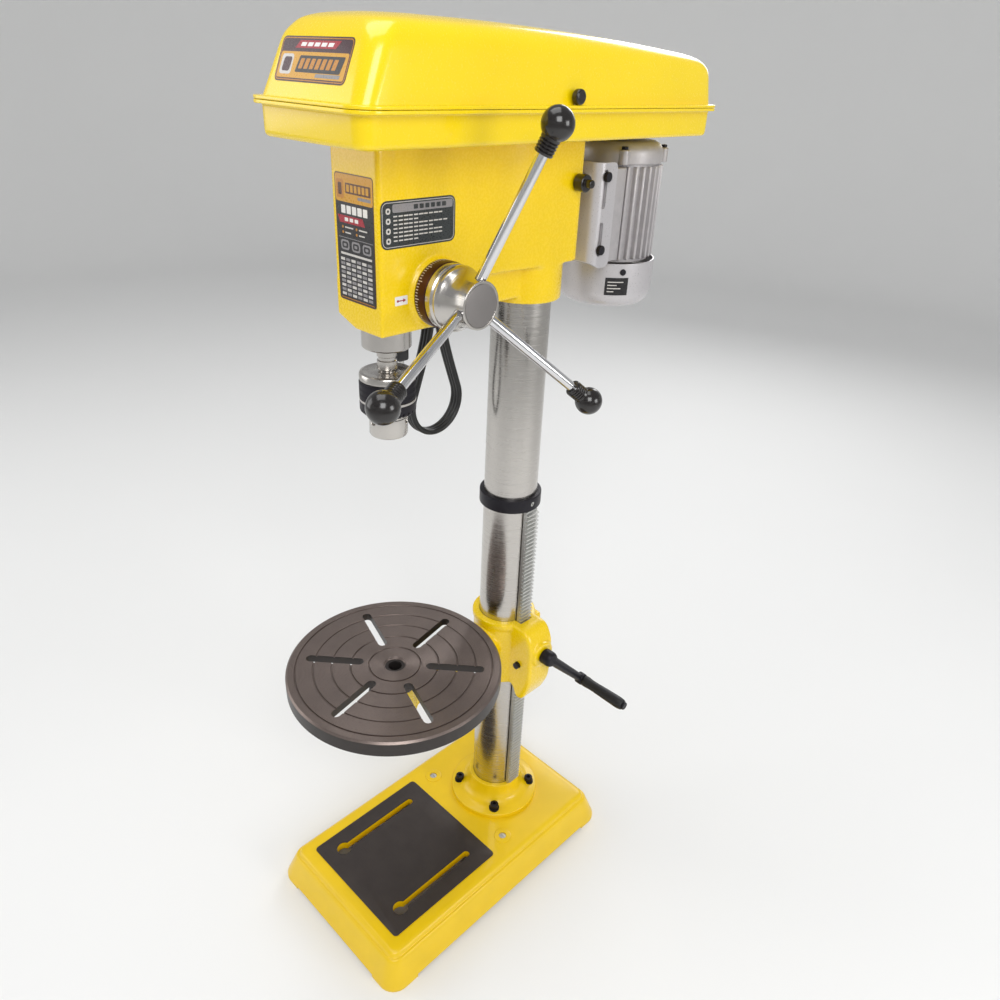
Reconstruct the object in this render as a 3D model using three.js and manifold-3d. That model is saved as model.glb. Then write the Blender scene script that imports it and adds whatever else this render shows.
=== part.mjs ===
// A floor-standing geared-feed drill press with a round tilting table.
// Millimetres, +Z up. The origin is on the floor under the column's axis, the operator
// stands on the -Y side, and +X is the machine's right, where the feed handles are.
import * as THREE from 'three';
import { mergeVertices } from 'three/addons/utils/BufferGeometryUtils.js';
import Module from 'manifold-3d';

const wasm = await Module();
wasm.setup();

// ---- driving dimensions -------------------------------------------------------------

const GAP = 0.3;                  // between faces that only rest on each other
const THROAT = 208;               // column axis to spindle axis
const SPINDLE_Y = -THROAT;

const COLUMN_R = 36.5;
const COLUMN_WALL = 4;
const COLUMN_TOP = 1003;

const BASE_HALF_WIDTH = 140;
const BASE_FRONT = -338;
const BASE_BACK = 122;
const BASE_TOP = 52.5;
const BASE_WALL = 9;
const BASE_PAD = { halfWidth: 100, front: -298, back: -98, top: 54 };

const FLANGE_R = 72;
const FLANGE_BOTTOM = BASE_TOP + GAP;
const FLANGE_NECK_TOP = 95;
const FLANGE_BOLT_R = 58.7;

const TOOTH_MODULE = 2;
const LIFT_TEETH = 12;
const RACK_HALF_WIDTH = 11;
const RACK_PITCH_X = 44;
const RACK_BOTTOM = FLANGE_NECK_TOP + 1;
const COLLAR = { bottom: 615, top: 634, outer: 42.5 };

const BRACKET = { bottom: 322, top: 431, outer: 47 };
const CRANK_Z = 390;
const CRANK_END = [112, 68, CRANK_Z - 70];
const WORM_R = 8;
const LIFT_GEAR_X = RACK_PITCH_X + LIFT_TEETH * TOOTH_MODULE / 2;
const LIFT_GEAR_Z = CRANK_Z - (LIFT_TEETH / 2 + 1) * TOOTH_MODULE - WORM_R - 0.4;
const TILT_Z = 385;

const TABLE_TOP = 440;
const TABLE_R = 142;
const TABLE_RIM = 23;
const TABLE_SLOT_TURN = 42;

const HEAD = { halfWidth: 37, front: -242, bottom: 899, top: 1074.7, back: 46, rearHalfWidth: 46 };
const QUILL_R = 26.5;
const QUILL_BOTTOM = 876;
const QUILL_TOP = 1029;
const FEED_Z = 935;
const FEED_TEETH = 14;
const FEED_Y = SPINDLE_Y + 24 + FEED_TEETH * TOOTH_MODULE / 2;
const FEED_ROD_TURN = 77;
const FEED_ROD_R = 5.5;
const FEED_KNOB = { x: 152, reach: 169, r: 15.3 };

const GUARD = { halfWidth: 80, front: -290, back: 240, corner: 16, wall: 3, rim: 7.5 };
const TRAY_BOTTOM = 1075;
const SEAM = 1106.5;
const LID_SIDE_TOP = 1169;
const LID_CROWN = 1178;

const PULLEY_BOTTOM = 1086;
const PULLEY_STEP = 13;
const SPINDLE_STEPS = [32, 41, 50, 59];
const IDLER_STEPS = [58, 48, 38, 28];
const MOTOR_STEPS = [22, 31, 40, 49];
const IDLER_Y = -40;
const IDLER_PIVOT = [30, 0];

const MOTOR_Y = 163;
const MOTOR_R = 58;
const COWL_R = 62;
const SLIDE_BAR = { x: 28, z: 1030, r: 8 };
const PLATE = { halfWidth: 53, front: 62, back: 96, bottom: 930, top: 1049, sheet: 3.5, bendR: 12 };

// ---- materials ----------------------------------------------------------------------

const finish = (color, roughness, metalness) =>
  new THREE.MeshStandardMaterial({ color, roughness, metalness });

const yellowEnamel = finish(0xf5c800, 0.35, 0.0);
const yellowCover = finish(0xf7cb05, 0.4, 0.0);
const machinedIron = finish(0x4a4644, 0.5, 0.6);
const groundSteel = finish(0xb9b6b2, 0.28, 1.0);
const chrome = finish(0xd8d8d8, 0.12, 1.0);
const blackOxide = finish(0x1d1c20, 0.5, 0.6);
const silverPaint = finish(0xb4b0b0, 0.5, 0.4);
const zincPlate = finish(0x9a9a94, 0.4, 0.8);
const blackPlastic = finish(0x1a1a1c, 0.4, 0.0);
const aluminium = finish(0xb0b2b4, 0.4, 1.0);
const beltRubber = finish(0x202020, 0.8, 0.0);
const cableVinyl = finish(0x161616, 0.6, 0.0);
const greenPlastic = finish(0x1f8a3c, 0.4, 0.0);
const redPlastic = finish(0xb3201c, 0.4, 0.0);

// ---- solids -------------------------------------------------------------------------

// Turns a closed three.js geometry into a solid, with its faces pointing outwards.
function solid(geometry) {
  geometry.deleteAttribute('normal');
  geometry.deleteAttribute('uv');
  const merged = mergeVertices(geometry, 1e-4);
  const points = merged.attributes.position;
  const faces = merged.index.array;
  const [a, b, c] = [new THREE.Vector3(), new THREE.Vector3(), new THREE.Vector3()];
  let volume = 0;
  for (let i = 0; i < faces.length; i += 3) {
    a.fromBufferAttribute(points, faces[i]);
    b.fromBufferAttribute(points, faces[i + 1]);
    c.fromBufferAttribute(points, faces[i + 2]);
    volume += a.dot(b.cross(c));
  }
  const triVerts = new Uint32Array(faces);
  if (volume < 0) triVerts.reverse();
  const vertProperties = new Float32Array(points.array);
  return new wasm.Manifold(new wasm.Mesh({ numProp: 3, vertProperties, triVerts }));
}

const join = (first, ...rest) => rest.reduce((sum, piece) => sum.add(piece), first);
const cut = (first, ...tools) => tools.reduce((left, tool) => left.subtract(tool), first);
const common = (first, ...rest) => rest.reduce((left, piece) => left.intersect(piece), first);

// How many flats a circle is drawn with.
function facets(radius) {
  if (radius > 100) return 40;
  if (radius > 31) return 24;
  if (radius > 15) return 18;
  return radius > 6.5 ? 14 : 10;
}

// A box between two values along each axis.
function block([x1, x2], [y1, y2], [z1, z2]) {
  const geometry = new THREE.BoxGeometry(x2 - x1, y2 - y1, z2 - z1);
  return solid(geometry.translate((x1 + x2) / 2, (y1 + y2) / 2, (z1 + z2) / 2));
}

// Lays a geometry made along +Y so that it runs along the named axis through a centre,
// given as the other two coordinates in X, Y, Z order.
function along(axis, geometry, [p, q]) {
  if (axis === 'x') return geometry.rotateZ(-Math.PI / 2).translate(0, p, q);
  if (axis === 'y') return geometry.translate(p, 0, q);
  return geometry.rotateX(Math.PI / 2).translate(p, q, 0);
}

function bar(axis, radius, [from, to], centre = [0, 0], sides = facets(radius)) {
  const geometry = new THREE.CylinderGeometry(radius, radius, to - from, sides);
  return solid(along(axis, geometry.translate(0, (from + to) / 2, 0), centre));
}

const widest = (profile) => Math.max(...profile.map(([radius]) => radius));

// A turned piece: profile points are [radius, distance along the axis].
function turned(axis, profile, centre = [0, 0], sides = facets(widest(profile))) {
  const points = profile.map(([radius, height]) => new THREE.Vector2(radius, height));
  return solid(along(axis, new THREE.LatheGeometry(points, sides), centre));
}

const ring = (axis, inner, outer, [from, to], centre) =>
  turned(axis, [[inner, from], [outer, from], [outer, to], [inner, to], [inner, from]], centre);

// A plate: its outline is drawn in (x, y), (y, z) or (x, z), and it is thick along the
// axis that is left.
function plate(axis, outline, [from, to], curveSegments = 2, bevel = {}) {
  const options = { depth: to - from, bevelEnabled: false, curveSegments, ...bevel };
  const geometry = new THREE.ExtrudeGeometry(outline, options);
  const turn = new THREE.Matrix4();
  const [X, Y, Z] = [new THREE.Vector3(1, 0, 0), new THREE.Vector3(0, 1, 0), new THREE.Vector3(0, 0, 1)];
  if (axis === 'x') turn.makeBasis(Y, Z, X).setPosition(from, 0, 0);
  if (axis === 'y') turn.makeBasis(X, Z, Y.clone().negate()).setPosition(0, to, 0);
  if (axis === 'z') turn.makeBasis(X, Y, Z).setPosition(0, 0, from);
  return solid(geometry.applyMatrix4(turn));
}

const polygon = (points) => new THREE.Shape(points.map(([u, v]) => new THREE.Vector2(u, v)));

function roundedBox([u1, u2], [v1, v2], r) {
  const shape = new THREE.Shape();
  shape.absarc(u2 - r, v2 - r, r, 0, Math.PI / 2);
  shape.absarc(u1 + r, v2 - r, r, Math.PI / 2, Math.PI);
  shape.absarc(u1 + r, v1 + r, r, Math.PI, Math.PI * 1.5);
  shape.absarc(u2 - r, v1 + r, r, Math.PI * 1.5, Math.PI * 2);
  return shape;
}

// A straight slot with round ends, between two points.
function slotShape([u1, v1], [u2, v2], r) {
  const turn = Math.atan2(v2 - v1, u2 - u1);
  const shape = new THREE.Shape();
  shape.absarc(u2, v2, r, turn - Math.PI / 2, turn + Math.PI / 2);
  shape.absarc(u1, v1, r, turn + Math.PI / 2, turn + Math.PI * 1.5);
  return shape;
}

const degrees = (angle) => angle * Math.PI / 180;
const vector = (point) => new THREE.Vector3(...point);

// A round rod between two points in space.
function rod(start, end, radius, endRadius = radius) {
  const direction = vector(end).sub(vector(start));
  const length = direction.length();
  const geometry = new THREE.CylinderGeometry(endRadius, radius, length, facets(radius));
  geometry.translate(0, length / 2, 0);
  const turn = new THREE.Quaternion();
  turn.setFromUnitVectors(new THREE.Vector3(0, 1, 0), direction.normalize());
  return solid(geometry.applyQuaternion(turn).translate(...start));
}

function ball(centre, radius, sides = 14) {
  const geometry = new THREE.SphereGeometry(radius, sides, sides / 2);
  return solid(geometry.translate(...centre));
}

const drillPress = new THREE.Group();

function place(name, body, material) {
  const part = body.getMesh();
  const geometry = new THREE.BufferGeometry();
  geometry.setAttribute('position', new THREE.BufferAttribute(part.vertProperties, 3));
  geometry.setIndex(new THREE.BufferAttribute(part.triVerts, 1));
  const mesh = new THREE.Mesh(geometry, material);
  mesh.name = name;
  drillPress.add(mesh);
}

// ---- gear teeth ---------------------------------------------------------------------

const PRESSURE_ANGLE = degrees(20);
const TOOTH_PITCH = Math.PI * TOOTH_MODULE;
const BACKLASH = 0.5;

// An involute spur gear's outline, with one tooth centred on the given angle.
function gearShape(teeth, firstTooth) {
  const pitchR = teeth * TOOTH_MODULE / 2;
  const baseR = pitchR * Math.cos(PRESSURE_ANGLE);
  const tipR = pitchR + TOOTH_MODULE;
  const rootR = pitchR - 1.2 * TOOTH_MODULE;
  const involute = (r) => {
    const pressure = Math.acos(Math.min(1, baseR / r));
    return Math.tan(pressure) - pressure;
  };
  const halfTooth = (TOOTH_PITCH / 2 - BACKLASH) / 2 / pitchR + involute(pitchR);
  const flank = [rootR, pitchR, tipR];
  const points = [];
  for (let tooth = 0; tooth < teeth; tooth++) {
    const middle = firstTooth + tooth * 2 * Math.PI / teeth;
    const left = flank.map((r) => [r, middle - halfTooth + involute(r)]);
    const right = flank.map((r) => [r, middle + halfTooth - involute(r)]).reverse();
    points.push(...left, ...right);
  }
  return polygon(points.map(([r, angle]) => [r * Math.cos(angle), r * Math.sin(angle)]));
}

// The teeth of a rack along +v, from v1 to v2, standing out along +u from the root line.
// A gap between teeth is centred on gapV.
function rackOutline([v1, v2], backU, pitchU, gapV, addendum) {
  const rootU = pitchU - 1.3 * TOOTH_MODULE;
  const tipU = pitchU + addendum;
  const halfAt = (u) => (TOOTH_PITCH / 2 - BACKLASH) / 2 - (u - pitchU) * Math.tan(PRESSURE_ANGLE);
  const points = [[backU, v1], [rootU, v1]];
  const first = Math.ceil((v1 + TOOTH_PITCH / 2 - gapV) / TOOTH_PITCH - 0.5);
  const middleOf = (tooth) => gapV + (tooth + 0.5) * TOOTH_PITCH;
  for (let tooth = first; middleOf(tooth) + TOOTH_PITCH / 2 < v2; tooth++) {
    const middle = middleOf(tooth);
    points.push([rootU, middle - halfAt(rootU)], [tipU, middle - halfAt(tipU)]);
    points.push([tipU, middle + halfAt(tipU)], [rootU, middle + halfAt(rootU)]);
  }
  points.push([rootU, v2], [backU, v2]);
  return points;
}

// ---- base, flange and column --------------------------------------------------------

const SKIRT_INSET = 16;
const SKIRT_TOP = 46;
const BASE_CORNER = 26;

// The base's outline, drawn in by a distance.
const baseOutline = (inset) => roundedBox(
  [-BASE_HALF_WIDTH + inset, BASE_HALF_WIDTH - inset],
  [BASE_FRONT + inset, BASE_BACK - inset], BASE_CORNER - inset * 0.6);

// A block with sloping sides, widest on the floor.
function skirt(inset, top, slope) {
  const bevel = { bevelEnabled: true, bevelThickness: top, bevelSize: slope, bevelSegments: 1 };
  const sloped = plate('z', baseOutline(inset + slope), [-10, 0], 3, bevel);
  return cut(sloped, block([-400, 400], [-600, 400], [-200, 0]));
}

function makeBase() {
  const rounding = BASE_TOP - SKIRT_TOP;
  const soft = { bevelEnabled: true, bevelThickness: rounding, bevelSize: 5, bevelSegments: 2 };
  const crown = plate('z', baseOutline(SKIRT_INSET + 5), [SKIRT_TOP - 1, SKIRT_TOP], 3, soft);
  const ceiling = BASE_TOP - BASE_WALL;
  const arches = join(
    block([-95, 95], [-400, 200], [-1, 5]),
    block([-200, 200], [-290, 76], [-1, 5]));
  const pad = plate('z', roundedBox([-BASE_PAD.halfWidth, BASE_PAD.halfWidth],
    [BASE_PAD.front, BASE_PAD.back], 6), [BASE_TOP - 2, BASE_PAD.top]);
  const bosses = [-84.5, 84.5].map((x) => bar('z', 14, [ceiling - 4, BASE_TOP + 1.2], [x, -64.8]));
  const shell = cut(join(skirt(0, SKIRT_TOP, SKIRT_INSET), crown),
    skirt(BASE_WALL, ceiling, SKIRT_INSET - 4), arches);
  const body = join(shell, pad, ...bosses,
    bar('z', 46, [0, ceiling + 4], [0, 0]),
    block([-118, 118], [-4, 4], [6, ceiling + 2]),
    block([-4, 4], [-316, 100], [6, ceiling + 2]));
  const holes = [];
  for (const x of [-69.5, 69.5]) {
    holes.push(plate('z', slotShape([x, -264], [x, -131.5], 5.5), [-1, 60]));
    holes.push(bar('z', 11, [-1, 60], [x, -264]));
    holes.push(bar('z', 6, [-1, 60], [x * 84.5 / 69.5, -64.8]));
  }
  for (let i = 0; i < 4; i++) {
    const angle = degrees(45 + 90 * i);
    const centre = [FLANGE_BOLT_R * Math.cos(angle), FLANGE_BOLT_R * Math.sin(angle)];
    holes.push(bar('z', 5, [-1, 60], centre));
  }
  return cut(body, ...holes);
}

function makeFlange() {
  const neck = turned('z', [
    [COLUMN_R + GAP, FLANGE_BOTTOM], [FLANGE_R, FLANGE_BOTTOM], [FLANGE_R, 59.5], [69, 61],
    [57, 63.5], [49, 69], [44.6, 80], [43.2, FLANGE_NECK_TOP], [COLUMN_R + GAP, FLANGE_NECK_TOP],
    [COLUMN_R + GAP, FLANGE_BOTTOM]]);
  const holes = [];
  for (let i = 0; i < 4; i++) {
    const angle = degrees(45 + 90 * i);
    const centre = [FLANGE_BOLT_R * Math.cos(angle), FLANGE_BOLT_R * Math.sin(angle)];
    holes.push(bar('z', 5.2, [50, 80], centre));
  }
  return cut(neck, ...holes);
}

function makeColumn() {
  return ring('z', COLUMN_R - COLUMN_WALL, COLUMN_R, [FLANGE_BOTTOM + GAP, COLUMN_TOP], [0, 0]);
}

function makeCollar() {
  const { bottom, top, outer } = COLLAR;
  const body = turned('z', [[COLUMN_R + GAP, bottom], [outer - 1, bottom], [outer, bottom + 1],
    [outer, top - 1], [outer - 1, top], [COLUMN_R + GAP, top], [COLUMN_R + GAP, bottom]]);
  return cut(body, bar('x', 3, [30, 60], [0, (bottom + top) / 2]));
}

function makeRack() {
  const outline = rackOutline([RACK_BOTTOM, COLLAR.bottom - 0.5], COLUMN_R + GAP, RACK_PITCH_X,
    LIFT_GEAR_Z, 0.65 * TOOTH_MODULE);
  return plate('y', polygon(outline), [-RACK_HALF_WIDTH, RACK_HALF_WIDTH]);
}

place('base', makeBase(), yellowEnamel);
place('column_flange', makeFlange(), yellowEnamel);
place('column', makeColumn(), groundSteel);
place('rack_collar', makeCollar(), blackOxide);
place('rack', makeRack(), zincPlate);

// ---- table bracket, its lock and its crank ------------------------------------------

const BRACKET_BORE = COLUMN_R + 0.5;
const RACK_CHANNEL = { x: RACK_PITCH_X + 2.6, halfWidth: RACK_HALF_WIDTH + 0.6 };
const LIFT_GEAR_HALF_WIDTH = 9;
const LOCK = { y: 54, z: 378 };

function makeBracket() {
  const { bottom, top, outer } = BRACKET;
  const housing = polygon([[30, bottom], [46, bottom], [54, 304], [66, 304], [80, 336],
    [80, 408], [66, top], [30, top]]);
  const soft = { bevelEnabled: true, bevelThickness: 4, bevelSize: 4, bevelOffset: -4, bevelSegments: 1 };
  const body = join(
    bar('z', outer, [bottom, top], [0, 0]),
    plate('y', housing, [-24, 24], 2, soft),
    bar('x', 20, [60, 85], [0, CRANK_Z]),
    bar('y', 30, [-62, -20], [0, TILT_Z]),
    plate('z', roundedBox([-20, 20], [30, 68], 5), [358, 398]));
  return cut(body,
    bar('z', BRACKET_BORE, [200, 500], [0, 0]),
    block([20, RACK_CHANNEL.x], [-RACK_CHANNEL.halfWidth, RACK_CHANNEL.halfWidth], [200, 500]),
    bar('y', (LIFT_TEETH / 2 + 1) * TOOTH_MODULE + 1, [-10, 10], [LIFT_GEAR_X, LIFT_GEAR_Z]),
    bar('y', 5.5, [-40, 40], [LIFT_GEAR_X, LIFT_GEAR_Z]),
    bar('x', WORM_R + 0.5, [30, 73], [0, CRANK_Z]),
    bar('x', 6.6, [70, 90], [0, CRANK_Z]),
    block([-1.5, 1.5], [30, 80], [200, 500]),
    bar('x', 5.5, [-40, 40], [LOCK.y, LOCK.z]),
    bar('y', 8.4, [-70, -30], [0, TILT_Z]));
}

function makeColumnLock() {
  const hub = [-31, LOCK.y, LOCK.z];
  const end = [-42, LOCK.y + 52, LOCK.z - 48];
  return join(
    bar('x', 5, [-34, 30], [LOCK.y, LOCK.z]),
    bar('x', 9, [-42, -20.4], [LOCK.y, LOCK.z], 6),
    rod(hub, end, 4.5),
    ball(end, 10, 12));
}

// A coil of screw thread: a square section swept round the X axis.
function thread(innerR, outerR, [from, to], turns) {
  const middleR = (innerR + outerR) / 2;
  class Helix extends THREE.Curve {
    getPoint(t) {
      const angle = t * turns * 2 * Math.PI;
      return new THREE.Vector3(from + (to - from) * t, middleR * Math.cos(angle),
        CRANK_Z + middleR * Math.sin(angle));
    }
  }
  const half = (outerR - innerR) / 2;
  const section = polygon([[-half, -half], [half, -half], [half, half], [-half, half]]);
  const options = { extrudePath: new Helix(), steps: turns * 10 };
  return solid(new THREE.ExtrudeGeometry(section, options));
}

function makeWormShaft() {
  return join(
    bar('x', 5.4, [48, 72.5], [0, CRANK_Z]),
    bar('x', 6, [70.5, 100], [0, CRANK_Z]),
    thread(5.2, WORM_R - 0.4, [51, 69], 3));
}

function makeLiftGear() {
  const width = [-LIFT_GEAR_HALF_WIDTH, LIFT_GEAR_HALF_WIDTH];
  const toothed = plate('y', gearShape(LIFT_TEETH, Math.PI), width);
  const shaft = bar('y', 5, [-29, 29], [0, 0]);
  return join(toothed, shaft).translate([LIFT_GEAR_X, 0, LIFT_GEAR_Z]);
}

const CRANK_HUB = [92, 0, CRANK_Z];
const GRIP_LENGTH = 74;

function makeCrankArm() {
  const [x, y, z] = CRANK_END;
  const body = join(
    bar('x', 11.5, [85.4, 103], [0, CRANK_Z]),
    rod([95, 0, CRANK_Z], [x - 5, y, z], 7.5, 6),
    bar('x', 9, [x - 11, x + 1], [y, z]),
    bar('x', 4, [x - 2, x + GRIP_LENGTH + 5], [y, z]),
    bar('x', 6, [x + GRIP_LENGTH + 2, x + GRIP_LENGTH + 5], [y, z]));
  return cut(body, bar('x', 6.3, [80, 98], [0, CRANK_Z]), bar('x', 6.3, [97, 101], [0, CRANK_Z]));
}

function makeCrankGrip() {
  const [x, y, z] = CRANK_END;
  const [from, to] = [x + 1.4, x + GRIP_LENGTH + 1.6];
  return turned('x', [[4.2, from], [8, from], [8.6, from + 4], [7.4, from + 16], [8.4, from + 45],
    [8.8, to - 6], [7.4, to], [4.2, to], [4.2, from]], [y, z]);
}

place('table_bracket', makeBracket(), yellowEnamel);
place('column_lock', makeColumnLock(), blackOxide);
place('worm_shaft', makeWormShaft(), groundSteel);
place('lift_gear', makeLiftGear(), groundSteel);
place('crank_arm', makeCrankArm(), blackOxide);
place('crank_grip', makeCrankGrip(), blackPlastic);

// ---- tilting arm and round table ----------------------------------------------------

const STEM_R = 14;
const STEM_BOTTOM = 358;
const ARM = { top: 413, bottom: 372, front: -66 };
const TABLE_LOCK_Z = 390;

function makeTableArm() {
  const beam = polygon([[-27, -64], [27, -64], [25, SPINDLE_Y], [-25, SPINDLE_Y]]);
  const body = join(
    bar('y', 30, [-82, -62.4], [0, TILT_Z]),
    cut(plate('z', beam, [ARM.bottom, ARM.top - 4]), block([-60, 60], [-64, -50], [300, 500])),
    bar('z', 30, [ARM.bottom - 6, ARM.top], [0, SPINDLE_Y]),
    block([-38, -20], [SPINDLE_Y - 11, SPINDLE_Y + 11], [TABLE_LOCK_Z - 11, TABLE_LOCK_Z + 11]));
  return cut(body,
    bar('z', STEM_R + 0.6, [300, 500], [0, SPINDLE_Y]),
    bar('y', 8.4, [-90, -50], [0, TILT_Z]),
    bar('y', 15, [-140, -82], [0, TILT_Z]),
    block([-15, 15], [-140, -82], [300, TILT_Z]),
    bar('x', 4.5, [-50, -10], [SPINDLE_Y, TABLE_LOCK_Z]));
}

function makeTiltBolt() {
  return join(
    bar('y', 8, [-94, -40], [0, TILT_Z]),
    bar('y', 13, [-94, -82.4], [0, TILT_Z], 6));
}

function makeTableLock() {
  const end = [-62, SPINDLE_Y, TABLE_LOCK_Z - 54];
  return join(
    bar('x', 4, [-48, -STEM_R - 0.5], [SPINDLE_Y, TABLE_LOCK_Z]),
    bar('x', 8, [-52, -38.4], [SPINDLE_Y, TABLE_LOCK_Z]),
    rod([-46, SPINDLE_Y, TABLE_LOCK_Z], end, 4),
    ball(end, 8, 12));
}

function makeTable() {
  const rim = TABLE_TOP - TABLE_RIM;
  const ceiling = TABLE_TOP - 11;
  const body = turned('z', [
    [9, STEM_BOTTOM], [STEM_R, STEM_BOTTOM], [STEM_R, ARM.top + 0.4], [32, ARM.top + 0.4],
    [34, ceiling], [TABLE_R - 9, ceiling], [TABLE_R - 8, rim], [TABLE_R - 1.5, rim],
    [TABLE_R, rim + 1.5], [TABLE_R, TABLE_TOP - 1.5], [TABLE_R - 1.5, TABLE_TOP],
    [15, TABLE_TOP], [13, TABLE_TOP - 3], [9, TABLE_TOP - 3], [9, STEM_BOTTOM]]);
  const slots = [];
  for (let i = 0; i < 6; i++) {
    const turn = degrees(TABLE_SLOT_TURN + 60 * i);
    const at = (r) => [r * Math.cos(turn), r * Math.sin(turn)];
    slots.push(plate('z', slotShape(at(48), at(113), 6.2), [ARM.top - 2, TABLE_TOP + 1]));
  }
  return cut(body, ...slots).translate([0, SPINDLE_Y, 0]);
}

place('table_arm', makeTableArm(), yellowEnamel);
place('tilt_bolt', makeTiltBolt(), blackOxide);
place('table_lock', makeTableLock(), blackOxide);
place('work_table', makeTable(), machinedIron);

// ---- head casting -------------------------------------------------------------------

const HEAD_LEDGE = 942;
const COLUMN_BOSS_R = 47;
const IDLER_PIVOT_R = 6;

function makeHead() {
  const { halfWidth, front, bottom, top, back, rearHalfWidth } = HEAD;
  const upper = new THREE.Shape();
  upper.absarc(halfWidth - 4, front + 4, 4, -Math.PI / 2, 0);
  upper.lineTo(halfWidth, -80);
  upper.lineTo(rearHalfWidth, -30);
  upper.absarc(rearHalfWidth - 9, back - 9, 9, 0, Math.PI / 2);
  upper.absarc(-rearHalfWidth + 9, back - 9, 9, Math.PI / 2, Math.PI);
  upper.lineTo(-rearHalfWidth, -30);
  upper.lineTo(-halfWidth, -80);
  upper.absarc(-halfWidth + 4, front + 4, 4, Math.PI, Math.PI * 1.5);
  const nose = roundedBox([-halfWidth, halfWidth], [front, -120], 4);
  const chamfer = plate('y', polygon([[-halfWidth - 3, bottom - 1], [-halfWidth - 3, bottom + 10],
    [-6, bottom - 1]]), [front - 5, -100]);
  const body = join(
    plate('z', upper, [HEAD_LEDGE, top]),
    plate('z', nose, [bottom, HEAD_LEDGE + 1]),
    block([-30, 30], [-121, -20], [bottom + 8, HEAD_LEDGE + 1]),
    bar('z', COLUMN_BOSS_R, [bottom, HEAD_LEDGE + 1], [0, 0]),
    bar('x', 35, [halfWidth - 5, halfWidth + 4], [FEED_Y, FEED_Z]),
    bar('x', 31, [-halfWidth - 2, -halfWidth + 5], [FEED_Y, FEED_Z]));
  const barHoles = [-1, 1].map((side) =>
    bar('y', SLIDE_BAR.r + 0.2, [-28, back + 2], [side * SLIDE_BAR.x, SLIDE_BAR.z]));
  return cut(body, chamfer,
    bar('z', QUILL_R + 0.1, [bottom - 2, 1040], [0, SPINDLE_Y]),
    bar('z', 17.4, [1039, top + 2], [0, SPINDLE_Y]),
    bar('z', COLUMN_R + 0.2, [bottom - 2, COLUMN_TOP + 3], [0, 0]),
    block([-29, 29], [-150, -54], [FEED_Z + 24, top + 2]),
    bar('x', 16.9, [-14, halfWidth + 6], [FEED_Y, FEED_Z]),
    bar('x', 10.5, [-halfWidth - 6, 0], [FEED_Y, FEED_Z]),
    bar('z', IDLER_PIVOT_R + 0.5, [1050, top + 2], IDLER_PIVOT),
    bar('x', 4.5, [SLIDE_BAR.x, rearHalfWidth + 2], [32, SLIDE_BAR.z]),
    ...barHoles);
}

place('head_casting', makeHead(), yellowEnamel);

// ---- quill, spindle and chuck -------------------------------------------------------

const SPINDLE_R = 10;
const CHUCK = { top: 849, sleeveBottom: 803, bottom: 775, noseR: 21.4, coreR: 27.2, sleeveR: 31 };
const JAW_LENGTH = 38;
const JAW_R = 4.5;
const JAW_LEAN = degrees(15);
const BEARING = { inner: SPINDLE_R + 0.3, outer: 19.5, bottom: QUILL_BOTTOM + 2, top: QUILL_BOTTOM + 16 };

function makeQuill() {
  const seat = BEARING.top + GAP;
  const body = turned('z', [[11, seat], [BEARING.outer + GAP, seat],
    [BEARING.outer + GAP, QUILL_BOTTOM], [QUILL_R - 1, QUILL_BOTTOM], [QUILL_R, QUILL_BOTTOM + 1],
    [QUILL_R, QUILL_TOP], [11, QUILL_TOP], [11, seat]], [0, SPINDLE_Y]);
  // The quill's own rack faces the feed pinion behind it.
  const pitchY = FEED_Y - FEED_TEETH * TOOTH_MODULE / 2;
  const teeth = rackOutline([FEED_Z - 14, QUILL_TOP + 8], pitchY - 10, pitchY, FEED_Z, 0.8 * TOOTH_MODULE);
  const toothed = plate('x', polygon(teeth), [-13, 13]);
  const space = block([-13, 13], [pitchY - 1.3 * TOOTH_MODULE, pitchY + 20], [FEED_Z - 14, QUILL_TOP + 9]);
  return cut(body, cut(space, toothed));
}

function makeBearing() {
  const { inner, outer, bottom, top } = BEARING;
  return turned('z', [[inner, bottom], [outer - 1, bottom], [outer, bottom + 1], [outer, top - 1],
    [outer - 1, top], [inner, top], [inner, bottom]], [0, SPINDLE_Y]);
}

function makeSpindle() {
  const body = turned('z', [[0, CHUCK.top - 12], [7, CHUCK.top - 12], [8, CHUCK.top + 1],
    [10.8, CHUCK.top + 2],
    [10.8, CHUCK.top + 22], [SPINDLE_R, CHUCK.top + 23], [SPINDLE_R, 1149], [9, 1150], [0, 1150]],
  [0, SPINDLE_Y]);
  const splines = [];
  for (let i = 0; i < 6; i++) {
    const turn = degrees(60 * i);
    const centre = [(SPINDLE_R + 0.6) * Math.cos(turn), SPINDLE_Y + (SPINDLE_R + 0.6) * Math.sin(turn)];
    splines.push(bar('z', 1.8, [1050, 1151], centre));
  }
  return cut(body, ...splines);
}

const jawAxis = (turn) => [Math.sin(JAW_LEAN) * Math.cos(turn), Math.sin(JAW_LEAN) * Math.sin(turn),
  Math.cos(JAW_LEAN)];

// A point on a jaw's centre line, a distance up from its tip at rest.
function jawPoint(turn, distance) {
  const [dx, dy, dz] = jawAxis(turn);
  const start = [4.4 * Math.cos(turn), SPINDLE_Y + 4.4 * Math.sin(turn), CHUCK.bottom - 3];
  return [start[0] + dx * distance, start[1] + dy * distance, start[2] + dz * distance];
}

const jawTurn = (i) => degrees(90 + 120 * i);

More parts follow.
